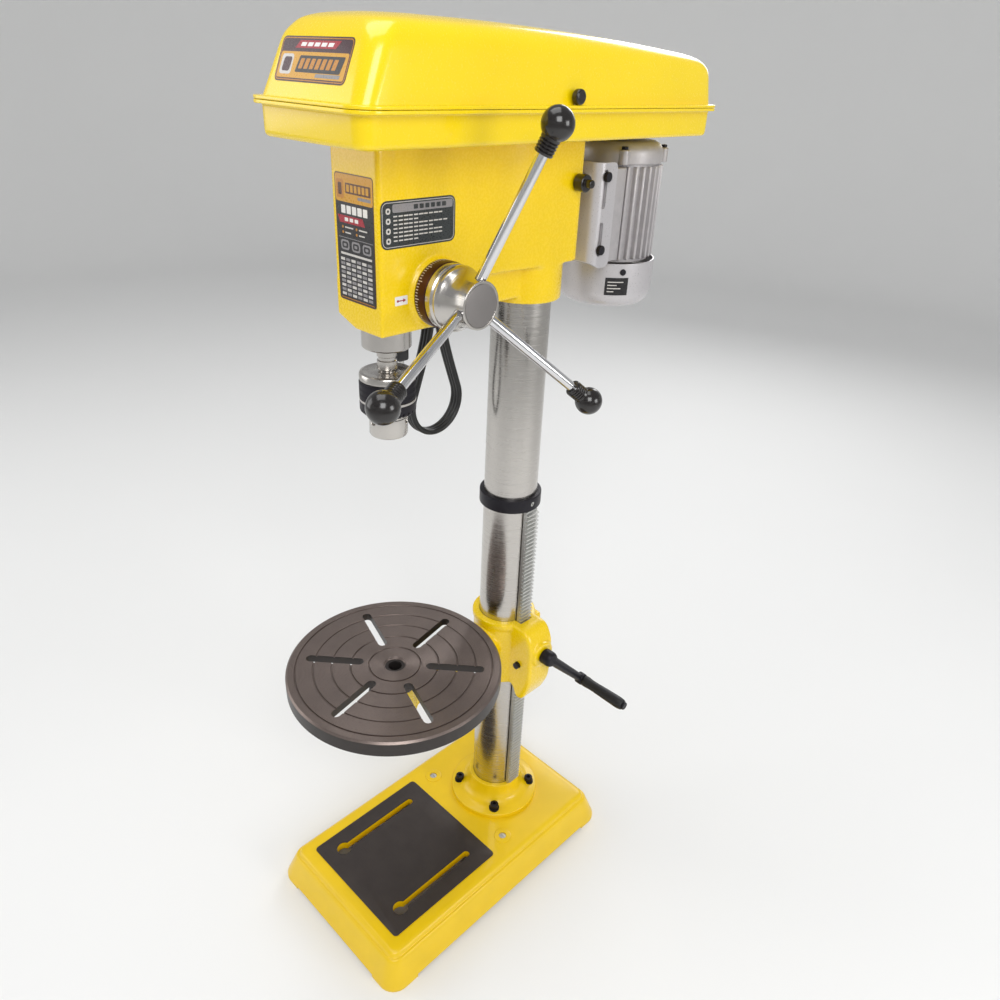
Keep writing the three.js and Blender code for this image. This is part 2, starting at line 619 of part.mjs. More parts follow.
function makeChuckBody() {
  const { top, sleeveBottom, bottom, noseR, coreR, sleeveR } = CHUCK;
  const body = turned('z', [[0, bottom + 30], [9.5, bottom + 30], [9.5, bottom + 2], [12, bottom],
    [noseR - 1.5, bottom], [noseR, bottom + 1.5], [noseR, sleeveBottom - 1], [coreR, sleeveBottom + 5],
    [coreR, top - 9], [sleeveR - 1, top - 9], [sleeveR - 0.4, top - 8], [sleeveR - 0.4, top - 2],
    [sleeveR - 3, top], [0, top]], [0, SPINDLE_Y]);
  const holes = [bar('z', 8.3, [top - 13, top + 1], [0, SPINDLE_Y])];
  for (let i = 0; i < 3; i++) {
    const turn = jawTurn(i);
    holes.push(rod(jawPoint(turn, -20), jawPoint(turn, JAW_LENGTH + 28), JAW_R + 0.4));
    const key = jawTurn(i) + Math.PI / 3;
    const rim = [noseR * 1.2 * Math.cos(key), SPINDLE_Y + noseR * 1.2 * Math.sin(key), sleeveBottom - 9];
    const inner = [noseR * 0.62 * Math.cos(key), SPINDLE_Y + noseR * 0.62 * Math.sin(key), sleeveBottom - 9];
    holes.push(rod(inner, rim, 3.6));
  }
  return cut(body, ...holes);
}

function makeChuckSleeve() {
  const { top, sleeveBottom, coreR, sleeveR } = CHUCK;
  const inner = coreR + 0.7;
  return turned('z', [[inner, sleeveBottom + 4], [sleeveR - 3, sleeveBottom],
    [sleeveR, sleeveBottom + 3], [sleeveR, sleeveBottom + 14], [sleeveR - 0.8, sleeveBottom + 14.8],
    [sleeveR - 0.8, sleeveBottom + 16], [sleeveR, sleeveBottom + 16.8], [sleeveR, top - 9.6],
    [inner, top - 9.6], [inner, sleeveBottom + 4]], [0, SPINDLE_Y]);
}

function makeJaw(i) {
  const turn = jawTurn(i);
  const roundBar = rod(jawPoint(turn, 0), jawPoint(turn, JAW_LENGTH), JAW_R);
  // Each jaw keeps to its own third of the bore.
  const wedge = polygon([[0.35, 0], [30, 29.65 * Math.sqrt(3)], [60, 0], [30, -29.65 * Math.sqrt(3)]]);
  const third = plate('z', wedge, [CHUCK.bottom - 20, CHUCK.top]);
  const ownThird = third.rotate([0, 0, turn * 180 / Math.PI]).translate([0, SPINDLE_Y, 0]);
  return common(roundBar, ownThird);
}

place('quill', makeQuill(), groundSteel);
place('quill_bearing', makeBearing(), groundSteel);
place('spindle', makeSpindle(), groundSteel);
place('chuck_body', makeChuckBody(), chrome);
place('chuck_sleeve', makeChuckSleeve(), blackOxide);
for (let i = 0; i < 3; i++) {
  place(`chuck_jaw_${i + 1}`, makeJaw(i), groundSteel);
}

// ---- feed: pinion, hub, depth ring, rods and knobs ----------------------------------

const HUB_FACE = 103;
const RING_X = [HEAD.halfWidth + 4.4, 56];
const feedCentre = [FEED_Y, FEED_Z];
const feedTurn = (i) => degrees(FEED_ROD_TURN + 120 * i);
const feedPoint = (i, x, reach) =>
  [x, FEED_Y + reach * Math.cos(feedTurn(i)), FEED_Z + reach * Math.sin(feedTurn(i))];
const FEED_ROD_INNER = { x: 91, reach: 14 };

function makeFeedPinion() {
  // One tooth points straight forward, into the gap of the quill's rack.
  const toothed = plate('x', gearShape(FEED_TEETH, Math.PI), [-12, 12]).translate([0, FEED_Y, FEED_Z]);
  return join(toothed,
    bar('x', 10, [-HEAD.halfWidth - 15, 18], feedCentre),
    bar('x', 16.4, [17, HEAD.halfWidth + 4], feedCentre),
    bar('x', 10, [HEAD.halfWidth + 3, 92], feedCentre));
}

function makeDepthRing() {
  const [from, to] = RING_X;
  return turned('x', [[17, from], [33, from], [34, from + 1], [34, to - 1], [33.4, to], [17, to],
    [17, from]], feedCentre);
}

function makeFeedHub() {
  const body = turned('x', [[10.3, 56.4], [33.4, 56.4], [33.4, 72], [32, 74], [27.5, 80],
    [24.5, 90], [24.2, HUB_FACE - 1], [23.2, HUB_FACE], [0, HUB_FACE], [0, 93], [10.3, 93],
    [10.3, 56.4]], feedCentre);
  const sockets = [];
  for (let i = 0; i < 3; i++) {
    sockets.push(rod(feedPoint(i, FEED_ROD_INNER.x, FEED_ROD_INNER.reach),
      feedPoint(i, FEED_KNOB.x, FEED_KNOB.reach), FEED_ROD_R + GAP));
  }
  return cut(body, ...sockets);
}

// Rods and knobs lie on a line that leans outwards from the hub.
function rodPoint(i, share) {
  const x = FEED_ROD_INNER.x + (FEED_KNOB.x - FEED_ROD_INNER.x) * share;
  const reach = FEED_ROD_INNER.reach + (FEED_KNOB.reach - FEED_ROD_INNER.reach) * share;
  return feedPoint(i, x, reach);
}

const makeFeedRod = (i) => rod(rodPoint(i, 0.004), rodPoint(i, 0.985), FEED_ROD_R);

function makeFeedKnob(i) {
  const body = join(
    ball(rodPoint(i, 1), FEED_KNOB.r),
    rod(rodPoint(i, 0.835), rodPoint(i, 0.94), 9.2, 10.5));
  return cut(body, rod(rodPoint(i, 0.7), rodPoint(i, 0.988), FEED_ROD_R + GAP));
}

const CAP_X = [-HEAD.halfWidth - 22, -HEAD.halfWidth - 2.4];

function makeSpringCap() {
  const [outer, inner] = CAP_X;
  return turned('x', [[0, outer - 1], [12, outer - 1], [14, outer], [29, outer], [30.5, outer + 1.5],
    [30.5, inner], [28.5, inner], [28.5, outer + 2.5], [0, outer + 2.5]], feedCentre);
}

// A flat clock spring: a strip wound in a spiral round the feed shaft.
function makeReturnSpring() {
  const turns = 3;
  const steps = turns * 14;
  const radiusAt = (t) => 13 + 13 * t;
  const edge = (offset) => Array.from({ length: steps + 1 }, (_, i) => {
    const t = i / steps;
    const r = radiusAt(t) + offset;
    const angle = t * turns * 2 * Math.PI;
    return [FEED_Y + r * Math.cos(angle), FEED_Z + r * Math.sin(angle)];
  });
  const strip = polygon([...edge(0), ...edge(0.9).reverse()]);
  return plate('x', strip, [CAP_X[0] + 4, CAP_X[1] - 2]);
}

place('feed_pinion', makeFeedPinion(), groundSteel);
place('depth_ring', makeDepthRing(), groundSteel);
place('feed_hub', makeFeedHub(), groundSteel);
for (let i = 0; i < 3; i++) {
  place(`feed_rod_${i + 1}`, makeFeedRod(i), chrome);
  place(`feed_knob_${i + 1}`, makeFeedKnob(i), blackPlastic);
}
place('spring_cap', makeSpringCap(), blackOxide);
place('return_spring', makeReturnSpring(), groundSteel);

// ---- belt guard ---------------------------------------------------------------------

const RIM_THICK = 3.2;
const HINGE = { x: -GUARD.halfWidth - GUARD.rim - 2.5, z: SEAM, r: 2, ear: 4.2 };
const HINGE_EARS = [-190, 110];
const EAR = 14;
const LID_KNOB = [-25, 1117.3];

const guardOutline = (grow) => roundedBox(
  [-GUARD.halfWidth - grow, GUARD.halfWidth + grow],
  [GUARD.front - grow, GUARD.back + grow], GUARD.corner + grow);

// Ears that carry the hinge pin, each between two distances along it.
const hingeEars = (spans, low, high) => spans.map(([from, to]) => join(
  bar('y', HINGE.ear, [from, to], [HINGE.x, HINGE.z]),
  block([HINGE.x, -GUARD.halfWidth - 1], [from, to], [low, high])));

function makeTray() {
  const outer = plate('z', guardOutline(0), [TRAY_BOTTOM, SEAM - 0.2], 3);
  const rim = plate('z', guardOutline(GUARD.rim), [SEAM - RIM_THICK, SEAM - 0.2], 3);
  const inside = plate('z', guardOutline(-GUARD.wall), [TRAY_BOTTOM + GUARD.wall, SEAM + 5], 3);
  const motorSlot = slotShape([0, MOTOR_Y - 14], [0, MOTOR_Y + 2], 27);
  const ears = hingeEars(HINGE_EARS.map((y) => [y, y + EAR]), SEAM - RIM_THICK, SEAM - 0.2);
  const lidEarSpace = HINGE_EARS.map((y) => bar('y', HINGE.ear + 0.5,
    [y + EAR, y + 2 * EAR + 0.6], [HINGE.x, HINGE.z]));
  return cut(join(cut(join(outer, rim), ...lidEarSpace), ...ears), inside,
    plate('z', motorSlot, [TRAY_BOTTOM - 1, SEAM]),
    bar('z', 30, [TRAY_BOTTOM - 1, SEAM], [0, SPINDLE_Y]),
    bar('z', IDLER_PIVOT_R + 2, [TRAY_BOTTOM - 1, SEAM], IDLER_PIVOT),
    bar('y', HINGE.r + 0.2, [-250, 200], [HINGE.x, HINGE.z]));
}

// The lid's long side, drawn in (y, z): raked nose, flat crown, then a long fall to the back.
function lidProfile(shrink) {
  const top = LID_CROWN - shrink;
  const front = GUARD.front + shrink * 1.1;
  const back = GUARD.back - shrink;
  const shape = new THREE.Shape();
  shape.moveTo(front, SEAM - 20);
  shape.lineTo(front, SEAM + 3);
  shape.lineTo(front + 25, LID_SIDE_TOP - 2 - shrink);
  shape.lineTo(front + 44, top);
  shape.lineTo(-150, top);
  shape.quadraticCurveTo(60, top, back - 12, 1161 - shrink);
  shape.lineTo(back, 1156 - shrink);
  shape.lineTo(back, SEAM - 20);
  return shape;
}

// The lid's end view, drawn in (x, z): sides that draw in upwards, and bevelled edges.
function lidSection(shrink) {
  const foot = GUARD.halfWidth - shrink;
  const side = 74 - shrink;
  const half = [[foot, SEAM - 20], [foot, SEAM + 3], [side, LID_SIDE_TOP - shrink],
    [side - 24, LID_CROWN - shrink]];
  return polygon([...half, ...half.map(([x, z]) => [-x, z]).reverse()]);
}

const lidSolid = (shrink) => common(
  plate('x', lidProfile(shrink), [-GUARD.halfWidth - 5, GUARD.halfWidth + 5], 6),
  plate('y', lidSection(shrink), [GUARD.front - 5, GUARD.back + 5]),
  plate('z', guardOutline(-shrink), [SEAM - 30, LID_CROWN + 5], 3));

function makeLid() {
  const above = block([-200, 200], [-400, 400], [SEAM + 0.2, 1300]);
  const rim = plate('z', guardOutline(GUARD.rim), [SEAM + 0.2, SEAM + RIM_THICK], 3);
  const spans = HINGE_EARS.map((y) => [y + EAR + 0.3, y + 2 * EAR + 0.3]);
  const trayEarSpace = HINGE_EARS.map((y) => bar('y', HINGE.ear + 0.5,
    [y - 0.3, y + EAR + 0.15], [HINGE.x, HINGE.z]));
  const shell = cut(join(common(lidSolid(0), above), cut(rim, ...trayEarSpace),
    ...hingeEars(spans, SEAM + 0.2, SEAM + RIM_THICK)), lidSolid(GUARD.wall));
  return cut(shell,
    bar('y', HINGE.r + 0.2, [-250, 200], [HINGE.x, HINGE.z]),
    bar('x', 3.2, [60, 100], LID_KNOB));
}

function makeLidKnob() {
  return turned('x', [[0, 74.5], [3, 74.5], [3, 80.6], [6, 80.8], [7.4, 83], [7.4, 88], [6, 89.6], [0, 89.6]],
    LID_KNOB);
}

function makeHingePin() {
  const from = HINGE_EARS[0] - 3;
  const to = HINGE_EARS[1] + 2 * EAR + 3;
  return join(bar('y', HINGE.r, [from, to], [HINGE.x, HINGE.z]),
    bar('y', 2.4, [from - 2, from], [HINGE.x, HINGE.z]));
}

place('belt_tray', makeTray(), yellowCover);
place('belt_lid', makeLid(), yellowCover);
place('lid_knob', makeLidKnob(), blackPlastic);
place('hinge_pin', makeHingePin(), zincPlate);

// ---- pulleys and belts --------------------------------------------------------------

const GROOVE_DEPTH = 8;
const stepMiddle = (k) => PULLEY_BOTTOM + PULLEY_STEP * (k + 0.5);

// A cone of V grooves, one on each step, from the bottom up.
function conePulley(steps, bore, centre, sleeveBottom, sleeveR) {
  const profile = [[bore, sleeveBottom], [sleeveR, sleeveBottom], [sleeveR, PULLEY_BOTTOM]];
  steps.forEach((r, k) => {
    const middle = stepMiddle(k);
    const bottom = r - GROOVE_DEPTH;
    profile.push([r, middle - 5.5], [bottom, middle - 3.9], [bottom, middle + 3.9], [r, middle + 5.5]);
  });
  profile.push([bore, PULLEY_BOTTOM + PULLEY_STEP * steps.length], [bore, sleeveBottom]);
  return turned('z', profile, centre, 16);
}

// A belt round two pulleys whose centres lie on the Y axis.
function makeBelt(frontY, frontR, rearY, rearR, k) {
  const outline = (offset, Kind) => {
    const lean = Math.acos((frontR - rearR) / (rearY - frontY));
    const shape = new Kind();
    shape.absarc(0, frontY, frontR + offset, Math.PI / 2 + lean, Math.PI * 2.5 - lean);
    shape.absarc(0, rearY, rearR + offset, Math.PI / 2 - lean, Math.PI / 2 + lean);
    return shape;
  };
  const shape = outline(-0.6, THREE.Shape);
  shape.holes.push(outline(-GROOVE_DEPTH + 0.6, THREE.Path));
  return plate('z', shape, [stepMiddle(k) - 3.4, stepMiddle(k) + 3.4], 6);
}

function makeIdlerArm() {
  const [px, py] = IDLER_PIVOT;
  const link = slotShape([px, py], [0, IDLER_Y], 11);
  return join(
    plate('z', link, [1078.5, 1084], 4),
    bar('z', IDLER_PIVOT_R, [1053, 1080], IDLER_PIVOT),
    bar('z', 6, [1082, PULLEY_BOTTOM + 4 * PULLEY_STEP + 2], [0, IDLER_Y]));
}

place('spindle_pulley', conePulley(SPINDLE_STEPS, SPINDLE_R + 0.6, [0, SPINDLE_Y], 1052, 17), aluminium);
place('idler_pulley', conePulley(IDLER_STEPS, 6.3, [0, IDLER_Y], PULLEY_BOTTOM - 1, 12), aluminium);
place('idler_arm', makeIdlerArm(), zincPlate);
place('motor_pulley', conePulley(MOTOR_STEPS, 8.4, [0, MOTOR_Y], PULLEY_BOTTOM - 4, 12), aluminium);
place('front_belt', makeBelt(SPINDLE_Y, SPINDLE_STEPS[1], IDLER_Y, IDLER_STEPS[1], 1), beltRubber);
place('rear_belt', makeBelt(IDLER_Y, IDLER_STEPS[2], MOTOR_Y, MOTOR_STEPS[2], 2), beltRubber);

// ---- motor and its slide ------------------------------------------------------------

const MOTOR = { bottom: 928.4, top: 1043, bellTop: 1068, cowlBottom: 871, cowlTop: 928 };
const SHAFT_R = 8;

function makeMotorBody() {
  const centre = [0, MOTOR_Y];
  const pieces = [bar('z', MOTOR_R - 7, [MOTOR.bottom, MOTOR.top], centre)];
  for (let i = 0; i < 17; i++) {
    const turn = degrees(-48 + i * 276 / 16);
    const [c, s] = [Math.cos(turn), Math.sin(turn)];
    const at = (r, side) => [r * c - side * s, MOTOR_Y + r * s + side * c];
    const fin = polygon([at(44, -2), at(MOTOR_R, -1.1), at(MOTOR_R, 1.1), at(44, 2)]);
    pieces.push(plate('z', fin, [MOTOR.bottom + 4, MOTOR.top - 2]));
  }
  const foot = roundedBox([-PLATE.halfWidth + PLATE.sheet + GAP, PLATE.halfWidth - PLATE.sheet - GAP],
    [PLATE.front + PLATE.sheet + 1.5, MOTOR_Y - 36], PLATE.bendR);
  pieces.push(plate('z', foot, [MOTOR.bottom + 6, MOTOR.top - 2]));
  return cut(join(...pieces), bar('z', SHAFT_R + 0.6, [900, 1100], centre));
}

function makeEndBell() {
  const bell = turned('z', [[SHAFT_R + 0.8, MOTOR.top + GAP], [55, MOTOR.top + GAP], [56, MOTOR.top + 1.5],
    [56, MOTOR.bellTop - 7], [53, MOTOR.bellTop - 2], [48, MOTOR.bellTop], [SHAFT_R + 0.8, MOTOR.bellTop],
    [SHAFT_R + 0.8, MOTOR.top + GAP]], [0, MOTOR_Y]);
  const lugs = [45, 135, 225, 315].map((angle) => {
    const [c, s] = [Math.cos(degrees(angle)), Math.sin(degrees(angle))];
    return bar('z', 6, [MOTOR.top + GAP, MOTOR.bellTop - 8], [57 * c, MOTOR_Y + 57 * s]);
  });
  return join(bell, ...lugs);
}

function makeCowl() {
  const { cowlBottom, cowlTop } = MOTOR;
  const shell = turned('z', [[10, cowlBottom], [50, cowlBottom], [58.5, cowlBottom + 3.5],
    [COWL_R, cowlBottom + 12], [COWL_R, cowlTop], [COWL_R - 2, cowlTop],
    [COWL_R - 2, cowlBottom + 13], [49, cowlBottom + 2], [10, cowlBottom + 2],
    [10, cowlBottom]], [0, MOTOR_Y]);
  const vents = [];
  for (let i = 0; i < 6; i++) {
    const turn = degrees(60 * i);
    const at = (r) => [r * Math.cos(turn), MOTOR_Y + r * Math.sin(turn)];
    vents.push(plate('z', slotShape(at(20), at(44), 3), [cowlBottom - 5, cowlBottom + 8]));
  }
  return cut(shell, ...vents);
}

// The motor's shaft, with its fan on the lower end.
function makeRotor() {
  const pieces = [
    bar('z', SHAFT_R, [880, PULLEY_BOTTOM + 4 * PULLEY_STEP + 6], [0, MOTOR_Y]),
    bar('z', 16, [890, 920], [0, MOTOR_Y])];
  for (let i = 0; i < 7; i++) {
    const turn = i * 2 * Math.PI / 7;
    const [c, s] = [Math.cos(turn), Math.sin(turn)];
    const at = (r, side) => [r * c - side * s, MOTOR_Y + r * s + side * c];
    pieces.push(plate('z', polygon([at(10, -1), at(50, -1), at(50, 1), at(10, 1)]), [894, 918]));
  }
  return join(...pieces);
}

function makeMotorPlate() {
  const { halfWidth, front, back, bottom, top, sheet, bendR } = PLATE;
  const side = (x) => {
    const outline = new THREE.Shape();
    outline.moveTo(front, bottom + 9);
    outline.lineTo(front + 14, bottom);
    outline.absarc(back - 9, bottom + 9, 9, Math.PI * 1.5, Math.PI * 2);
    outline.absarc(back - 9, top - 9, 9, 0, Math.PI / 2);
    outline.lineTo(front, top);
    return plate('x', outline, [x, x + sheet]);
  };
  const bend = roundedBox([-halfWidth, halfWidth], [front, front + 30], bendR);
  const inner = roundedBox([-halfWidth + sheet, halfWidth - sheet], [front + sheet, front + 60],
    bendR - sheet);
  const web = cut(plate('z', bend, [bottom + 9, top]), plate('z', inner, [bottom, top + 5]),
    block([-60, 60], [front + bendR, front + 40], [bottom, top + 5]));
  const flanges = [-halfWidth, halfWidth - sheet].map((x) => cut(side(x), block([-60, 60],
    [front - 1, front + bendR - 1], [bottom - 1, top + 1])));
  const slots = [[1002, 1038], [948, 980]].map(([low, high]) =>
    plate('x', slotShape([front + 13, low], [front + 13, high], 3.6), [-60, 60], 3));
  const barHoles = [-1, 1].map((s) => bar('y', 5.2, [front - 2, front + 8], [s * SLIDE_BAR.x, SLIDE_BAR.z]));
  return cut(join(web, ...flanges), ...slots, ...barHoles);
}

const makeSlideBar = (side) => join(
  bar('y', SLIDE_BAR.r, [-14, PLATE.front - GAP], [side * SLIDE_BAR.x, SLIDE_BAR.z]),
  bar('y', 5, [PLATE.front - 1, PLATE.front + PLATE.sheet + 1], [side * SLIDE_BAR.x, SLIDE_BAR.z]));

function makeSlideLock() {
  return join(
    bar('x', 4, [SLIDE_BAR.x + SLIDE_BAR.r + 0.4, 58], [32, SLIDE_BAR.z]),
    bar('x', 9.5, [HEAD.rearHalfWidth + 1, HEAD.rearHalfWidth + 14], [32, SLIDE_BAR.z]),
    bar('x', 4.6, [58, 68], [32, SLIDE_BAR.z]));
}

place('motor_body', makeMotorBody(), silverPaint);
place('motor_end_bell', makeEndBell(), silverPaint);
place('fan_cowl', makeCowl(), silverPaint);
place('rotor', makeRotor(), groundSteel);
place('motor_plate', makeMotorPlate(), silverPaint);
place('slide_bar_left', makeSlideBar(-1), groundSteel);
place('slide_bar_right', makeSlideBar(1), groundSteel);
place('slide_lock', makeSlideLock(), blackPlastic);

// ---- switch and power lead ----------------------------------------------------------

const SWITCH = { y: [-215, -150], z: [976, 1046], face: -62 };
const BUTTON_R = 9;
const buttonPlaces = { start: [-182.5, 1028], stop: [-182.5, 998] };
const CORD_R = 3.5;
const GLAND = [-50, SWITCH.y[1], 996];

function makeSwitchBox() {
  const outline = roundedBox(SWITCH.y, SWITCH.z, 5);
  const inside = roundedBox([SWITCH.y[0] + 3, SWITCH.y[1] - 3], [SWITCH.z[0] + 3, SWITCH.z[1] - 3], 3);
  const body = cut(plate('x', outline, [SWITCH.face, -HEAD.halfWidth - GAP]),
    plate('x', inside, [SWITCH.face + 3, -HEAD.halfWidth + 1]));
  const holes = Object.values(buttonPlaces).map((centre) => bar('x', BUTTON_R + 0.4, [-70, -55], centre));
  return cut(body, ...holes, bar('y', 5, [GLAND[1] - 6, GLAND[1] + 2], [GLAND[0], GLAND[2]]));
}

const makeButton = (centre) => turned('x', [[0, SWITCH.face - 4], [BUTTON_R - 1.5, SWITCH.face - 4],
  [BUTTON_R, SWITCH.face - 2.5], [BUTTON_R, SWITCH.face + 8], [0, SWITCH.face + 8]], centre);

function makeStrainRelief() {
  const [x, y, z] = GLAND;
  return turned('y', [[0, y - 4], [4.6, y - 4], [4.6, y + 0.4], [8, y + 0.4], [8, y + 4], [6.2, y + 5],
    [4.6, y + 26], [0, y + 26]], [x, z]);
}

// Where the lead runs: out of its gland, over, and down to the top of the hank.
const HANK = { x: [-60.5, -39.5], y: -97, top: 944, bottom: 727, topHalf: 25, bottomHalf: 43 };
const leadStart = [GLAND[0], GLAND[1] + 26.4, GLAND[2]];
const leadRoute = [
  leadStart,
  [GLAND[0], GLAND[1] + 36, GLAND[2] - 0.6],
  [GLAND[0], GLAND[1] + 46, GLAND[2] - 5],
  [GLAND[0], GLAND[1] + 52, GLAND[2] - 14],
  [GLAND[0], HANK.y, GLAND[2] - 26],
  [GLAND[0], HANK.y, HANK.top + 12],
  [GLAND[0], HANK.y, HANK.top + 0.4]];

function makeLead() {
  const curve = new THREE.CatmullRomCurve3(leadRoute.map(vector));
  const section = new THREE.Shape();
  section.absarc(0, 0, CORD_R, 0, Math.PI * 2);
  const geometry = new THREE.ExtrudeGeometry(section, { extrudePath: curve, steps: 10, curveSegments: 4 });
  const square = block([-70, -30], [GLAND[1] + 26.3, 0], [HANK.top + 0.3, 1050]);
  return common(solid(geometry), square);
}

// The outer shape of the tied-up lead: narrow at the top, a wide loop below.
function makeHank() {
  const { x, y, top, bottom, topHalf, bottomHalf } = HANK;
  const outline = new THREE.Shape();
  outline.absarc(y, top - topHalf, topHalf, 0, Math.PI);
  outline.lineTo(y - 13, 872);
  outline.absarc(y, bottom + bottomHalf, bottomHalf, Math.PI * 0.93, Math.PI * 2.07);
  outline.lineTo(y + 13, 872);
  return plate('x', outline, x, 4);
}

// A moulded two-pin plug, hanging beside the hank with its pins down.
const PLUG = { y: -152, top: 880, bottom: 836 };

function makePlug() {
  const shape = roundedBox([PLUG.y - 8, PLUG.y + 7.5], [PLUG.bottom, PLUG.top - 8], 3);
  const pins = [-55.5, -44.5].map((x) => block([x - 0.8, x + 0.8], [PLUG.y - 3.2, PLUG.y + 3.2],
    [PLUG.bottom - 17, PLUG.bottom + 2]));
  return join(
    plate('x', shape, [-61, -39]),
    bar('z', 6.5, [PLUG.top - 10, PLUG.top + 6], [-50, PLUG.y], 20, 4.4),
    ...pins);
}

place('switch_box', makeSwitchBox(), blackPlastic);
place('start_button', makeButton(buttonPlaces.start), greenPlastic);
place('stop_button', makeButton(buttonPlaces.stop), redPlastic);
place('strain_relief', makeStrainRelief(), cableVinyl);
place('power_cord', makeLead(), cableVinyl);
place('cord_hank', makeHank(), cableVinyl);
place('plug', makePlug(), cableVinyl);

export default drillPress;
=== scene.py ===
"""Builds the looks of a floor-standing drill press on its own working model."""
import math

import bmesh
import bpy
from mathutils import Matrix, Vector


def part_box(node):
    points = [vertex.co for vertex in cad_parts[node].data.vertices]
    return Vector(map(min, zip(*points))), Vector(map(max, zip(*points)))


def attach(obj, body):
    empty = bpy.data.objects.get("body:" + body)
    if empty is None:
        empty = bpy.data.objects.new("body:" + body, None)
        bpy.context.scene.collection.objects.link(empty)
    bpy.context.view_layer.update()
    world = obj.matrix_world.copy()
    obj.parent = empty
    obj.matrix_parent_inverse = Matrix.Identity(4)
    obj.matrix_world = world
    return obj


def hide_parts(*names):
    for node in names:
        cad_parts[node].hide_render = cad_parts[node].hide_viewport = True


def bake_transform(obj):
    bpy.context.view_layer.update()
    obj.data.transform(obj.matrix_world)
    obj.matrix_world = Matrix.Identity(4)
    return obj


bl_info = {
    "name": "Drill Press",
    "version": (1, 0, 0),
    "blender": (4, 5, 0),
    "location": "View3D > Sidebar > Drill Press",
    "description": "Builds a floor-standing drill press, group by group, on its working model",
    "category": "Object",
}

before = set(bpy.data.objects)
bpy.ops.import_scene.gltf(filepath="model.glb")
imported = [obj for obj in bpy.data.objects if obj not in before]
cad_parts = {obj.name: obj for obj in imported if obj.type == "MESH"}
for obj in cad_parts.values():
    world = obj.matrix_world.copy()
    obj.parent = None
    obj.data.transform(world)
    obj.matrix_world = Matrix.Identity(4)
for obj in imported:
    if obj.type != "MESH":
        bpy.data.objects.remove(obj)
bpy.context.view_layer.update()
MM = 0.001


def corners(node):
    """A working piece's lowest and highest corner, in millimetres."""
    low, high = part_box(node)
    return low / MM, high / MM


# ---- places, in millimetres ----------------------------------------------------------------------

SPINDLE_Y = -208
COLUMN_R = 36.5
COLUMN_BOTTOM, COLUMN_TOP = 53.1, 1003
BASE = {"half": 140, "front": -338, "back": 122, "corner": 26, "top": 52.5, "wall": 9}
PAD = {"half": 100, "front": -298, "back": -98, "top": 54}
CLAMP_SLOT_X, CLAMP_SLOT_Y, CLAMP_SLOT_R = 69.5, (-264, -131.5), 5.5
FLANGE_BOLT_R = 58.7
COLLAR = (615, 634, 42.5)
BRACKET = (322, 431, 47)
CRANK_Z = 390
CRANK_END = (112, 68, 320)
LIFT_GEAR = (56, 367.6)
LOCK_Y, LOCK_Z = 54, 378
TILT_Z = 385
TABLE_LOCK_Z = 390
TABLE_R, TABLE_TOP = 142, 440
HEAD = {"half": 37, "front": -242, "bottom": 899, "ledge": 942, "top": 1074.7, "back": 46, "rear": 46}
FEED_Y, FEED_Z = -170, 935
HUB_FACE = 103
KNOB_R = 15.3
GUARD = {"half": 80, "front": -290, "back": 240, "corner": 16, "wall": 3, "rim": 7.5}
TRAY_BOTTOM, SEAM, CROWN = 1075, 1106.5, 1178
LID_RISE, RAKE_SHARE, RAKE_DEPTH = 71, 0.86, 26
CROWN_FALL = {"start": -150, "length": 378, "drop": 17, "power": 1.7}
HINGE_X, HINGE_R = -90, 2
PULLEY_BOTTOM, PULLEY_STEP, GROOVE = 1086, 13, 8
IDLER_Y = -40
MOTOR_Y = 163
SLIDE_BAR = (28, 1030, 8)
PLATE = {"half": 53, "front": 62, "back": 96, "bottom": 930, "top": 1049, "sheet": 3.5, "bend": 12}
SWITCH = {"front": -215, "back": -150, "bottom": 976, "top": 1046, "face": -62}
BUTTONS = {"start": (-182.5, 1028), "stop": (-182.5, 998)}
GLAND = (-50, -150, 996)


# ---- shapes: every one is (points in millimetres, faces) -----------------------------------------

AXES = {
    "x": (Vector((0, 1, 0)), Vector((0, 0, 1)), Vector((1, 0, 0))),
    "y": (Vector((1, 0, 0)), Vector((0, 0, 1)), Vector((0, 1, 0))),
    "z": (Vector((1, 0, 0)), Vector((0, 1, 0)), Vector((0, 0, 1))),
}


def basis(axis):
    """Two directions across an axis, and the axis itself."""
    if isinstance(axis, str):
        return AXES[axis]
    along = Vector(axis).normalized()
    across = along.orthogonal().normalized()
    return across, along.cross(across), along


def turned(profile, origin=(0, 0, 0), axis="z", sides=96, ripple=None):
    """A turned shape. Its profile is (radius, distance along the axis) points."""
    u, v, w = basis(axis)
    points, faces, rings = [], [], []
    for radius, along in profile:
        count = 1 if radius < 1e-6 else sides
        rings.append((len(points), count))
        for i in range(count):
            turn = math.tau * i / sides
            r = radius + (ripple(turn, along) if ripple and count > 1 else 0)
            points.append(Vector(origin) + w * along + (u * math.cos(turn) + v * math.sin(turn)) * r)
    for (a, a_count), (b, b_count) in zip(rings, rings[1:]):
        if a_count == 1 and b_count == 1:
            continue
        for i in range(sides):
            j = (i + 1) % sides
            if a_count == 1:
                faces.append((a, b + j, b + i))
            elif b_count == 1:
                faces.append((a + i, a + j, b))
            else:
                faces.append((a + i, a + j, b + j, b + i))
    return points, faces


def hollow(profile, origin=(0, 0, 0), axis="z", sides=96):
    """A turned shape with a bore: its profile closes on itself."""
    return turned([*profile, profile[0]], origin, axis, sides)


def stub(radius, span, softs, steps):
    """The profile of a round stub, with its rim softened at each end."""
    (low, high), (first, last) = span, softs
    return rounded([(0, low), (radius, low), (radius, high), (0, high)], [0, first, last, 0], steps)


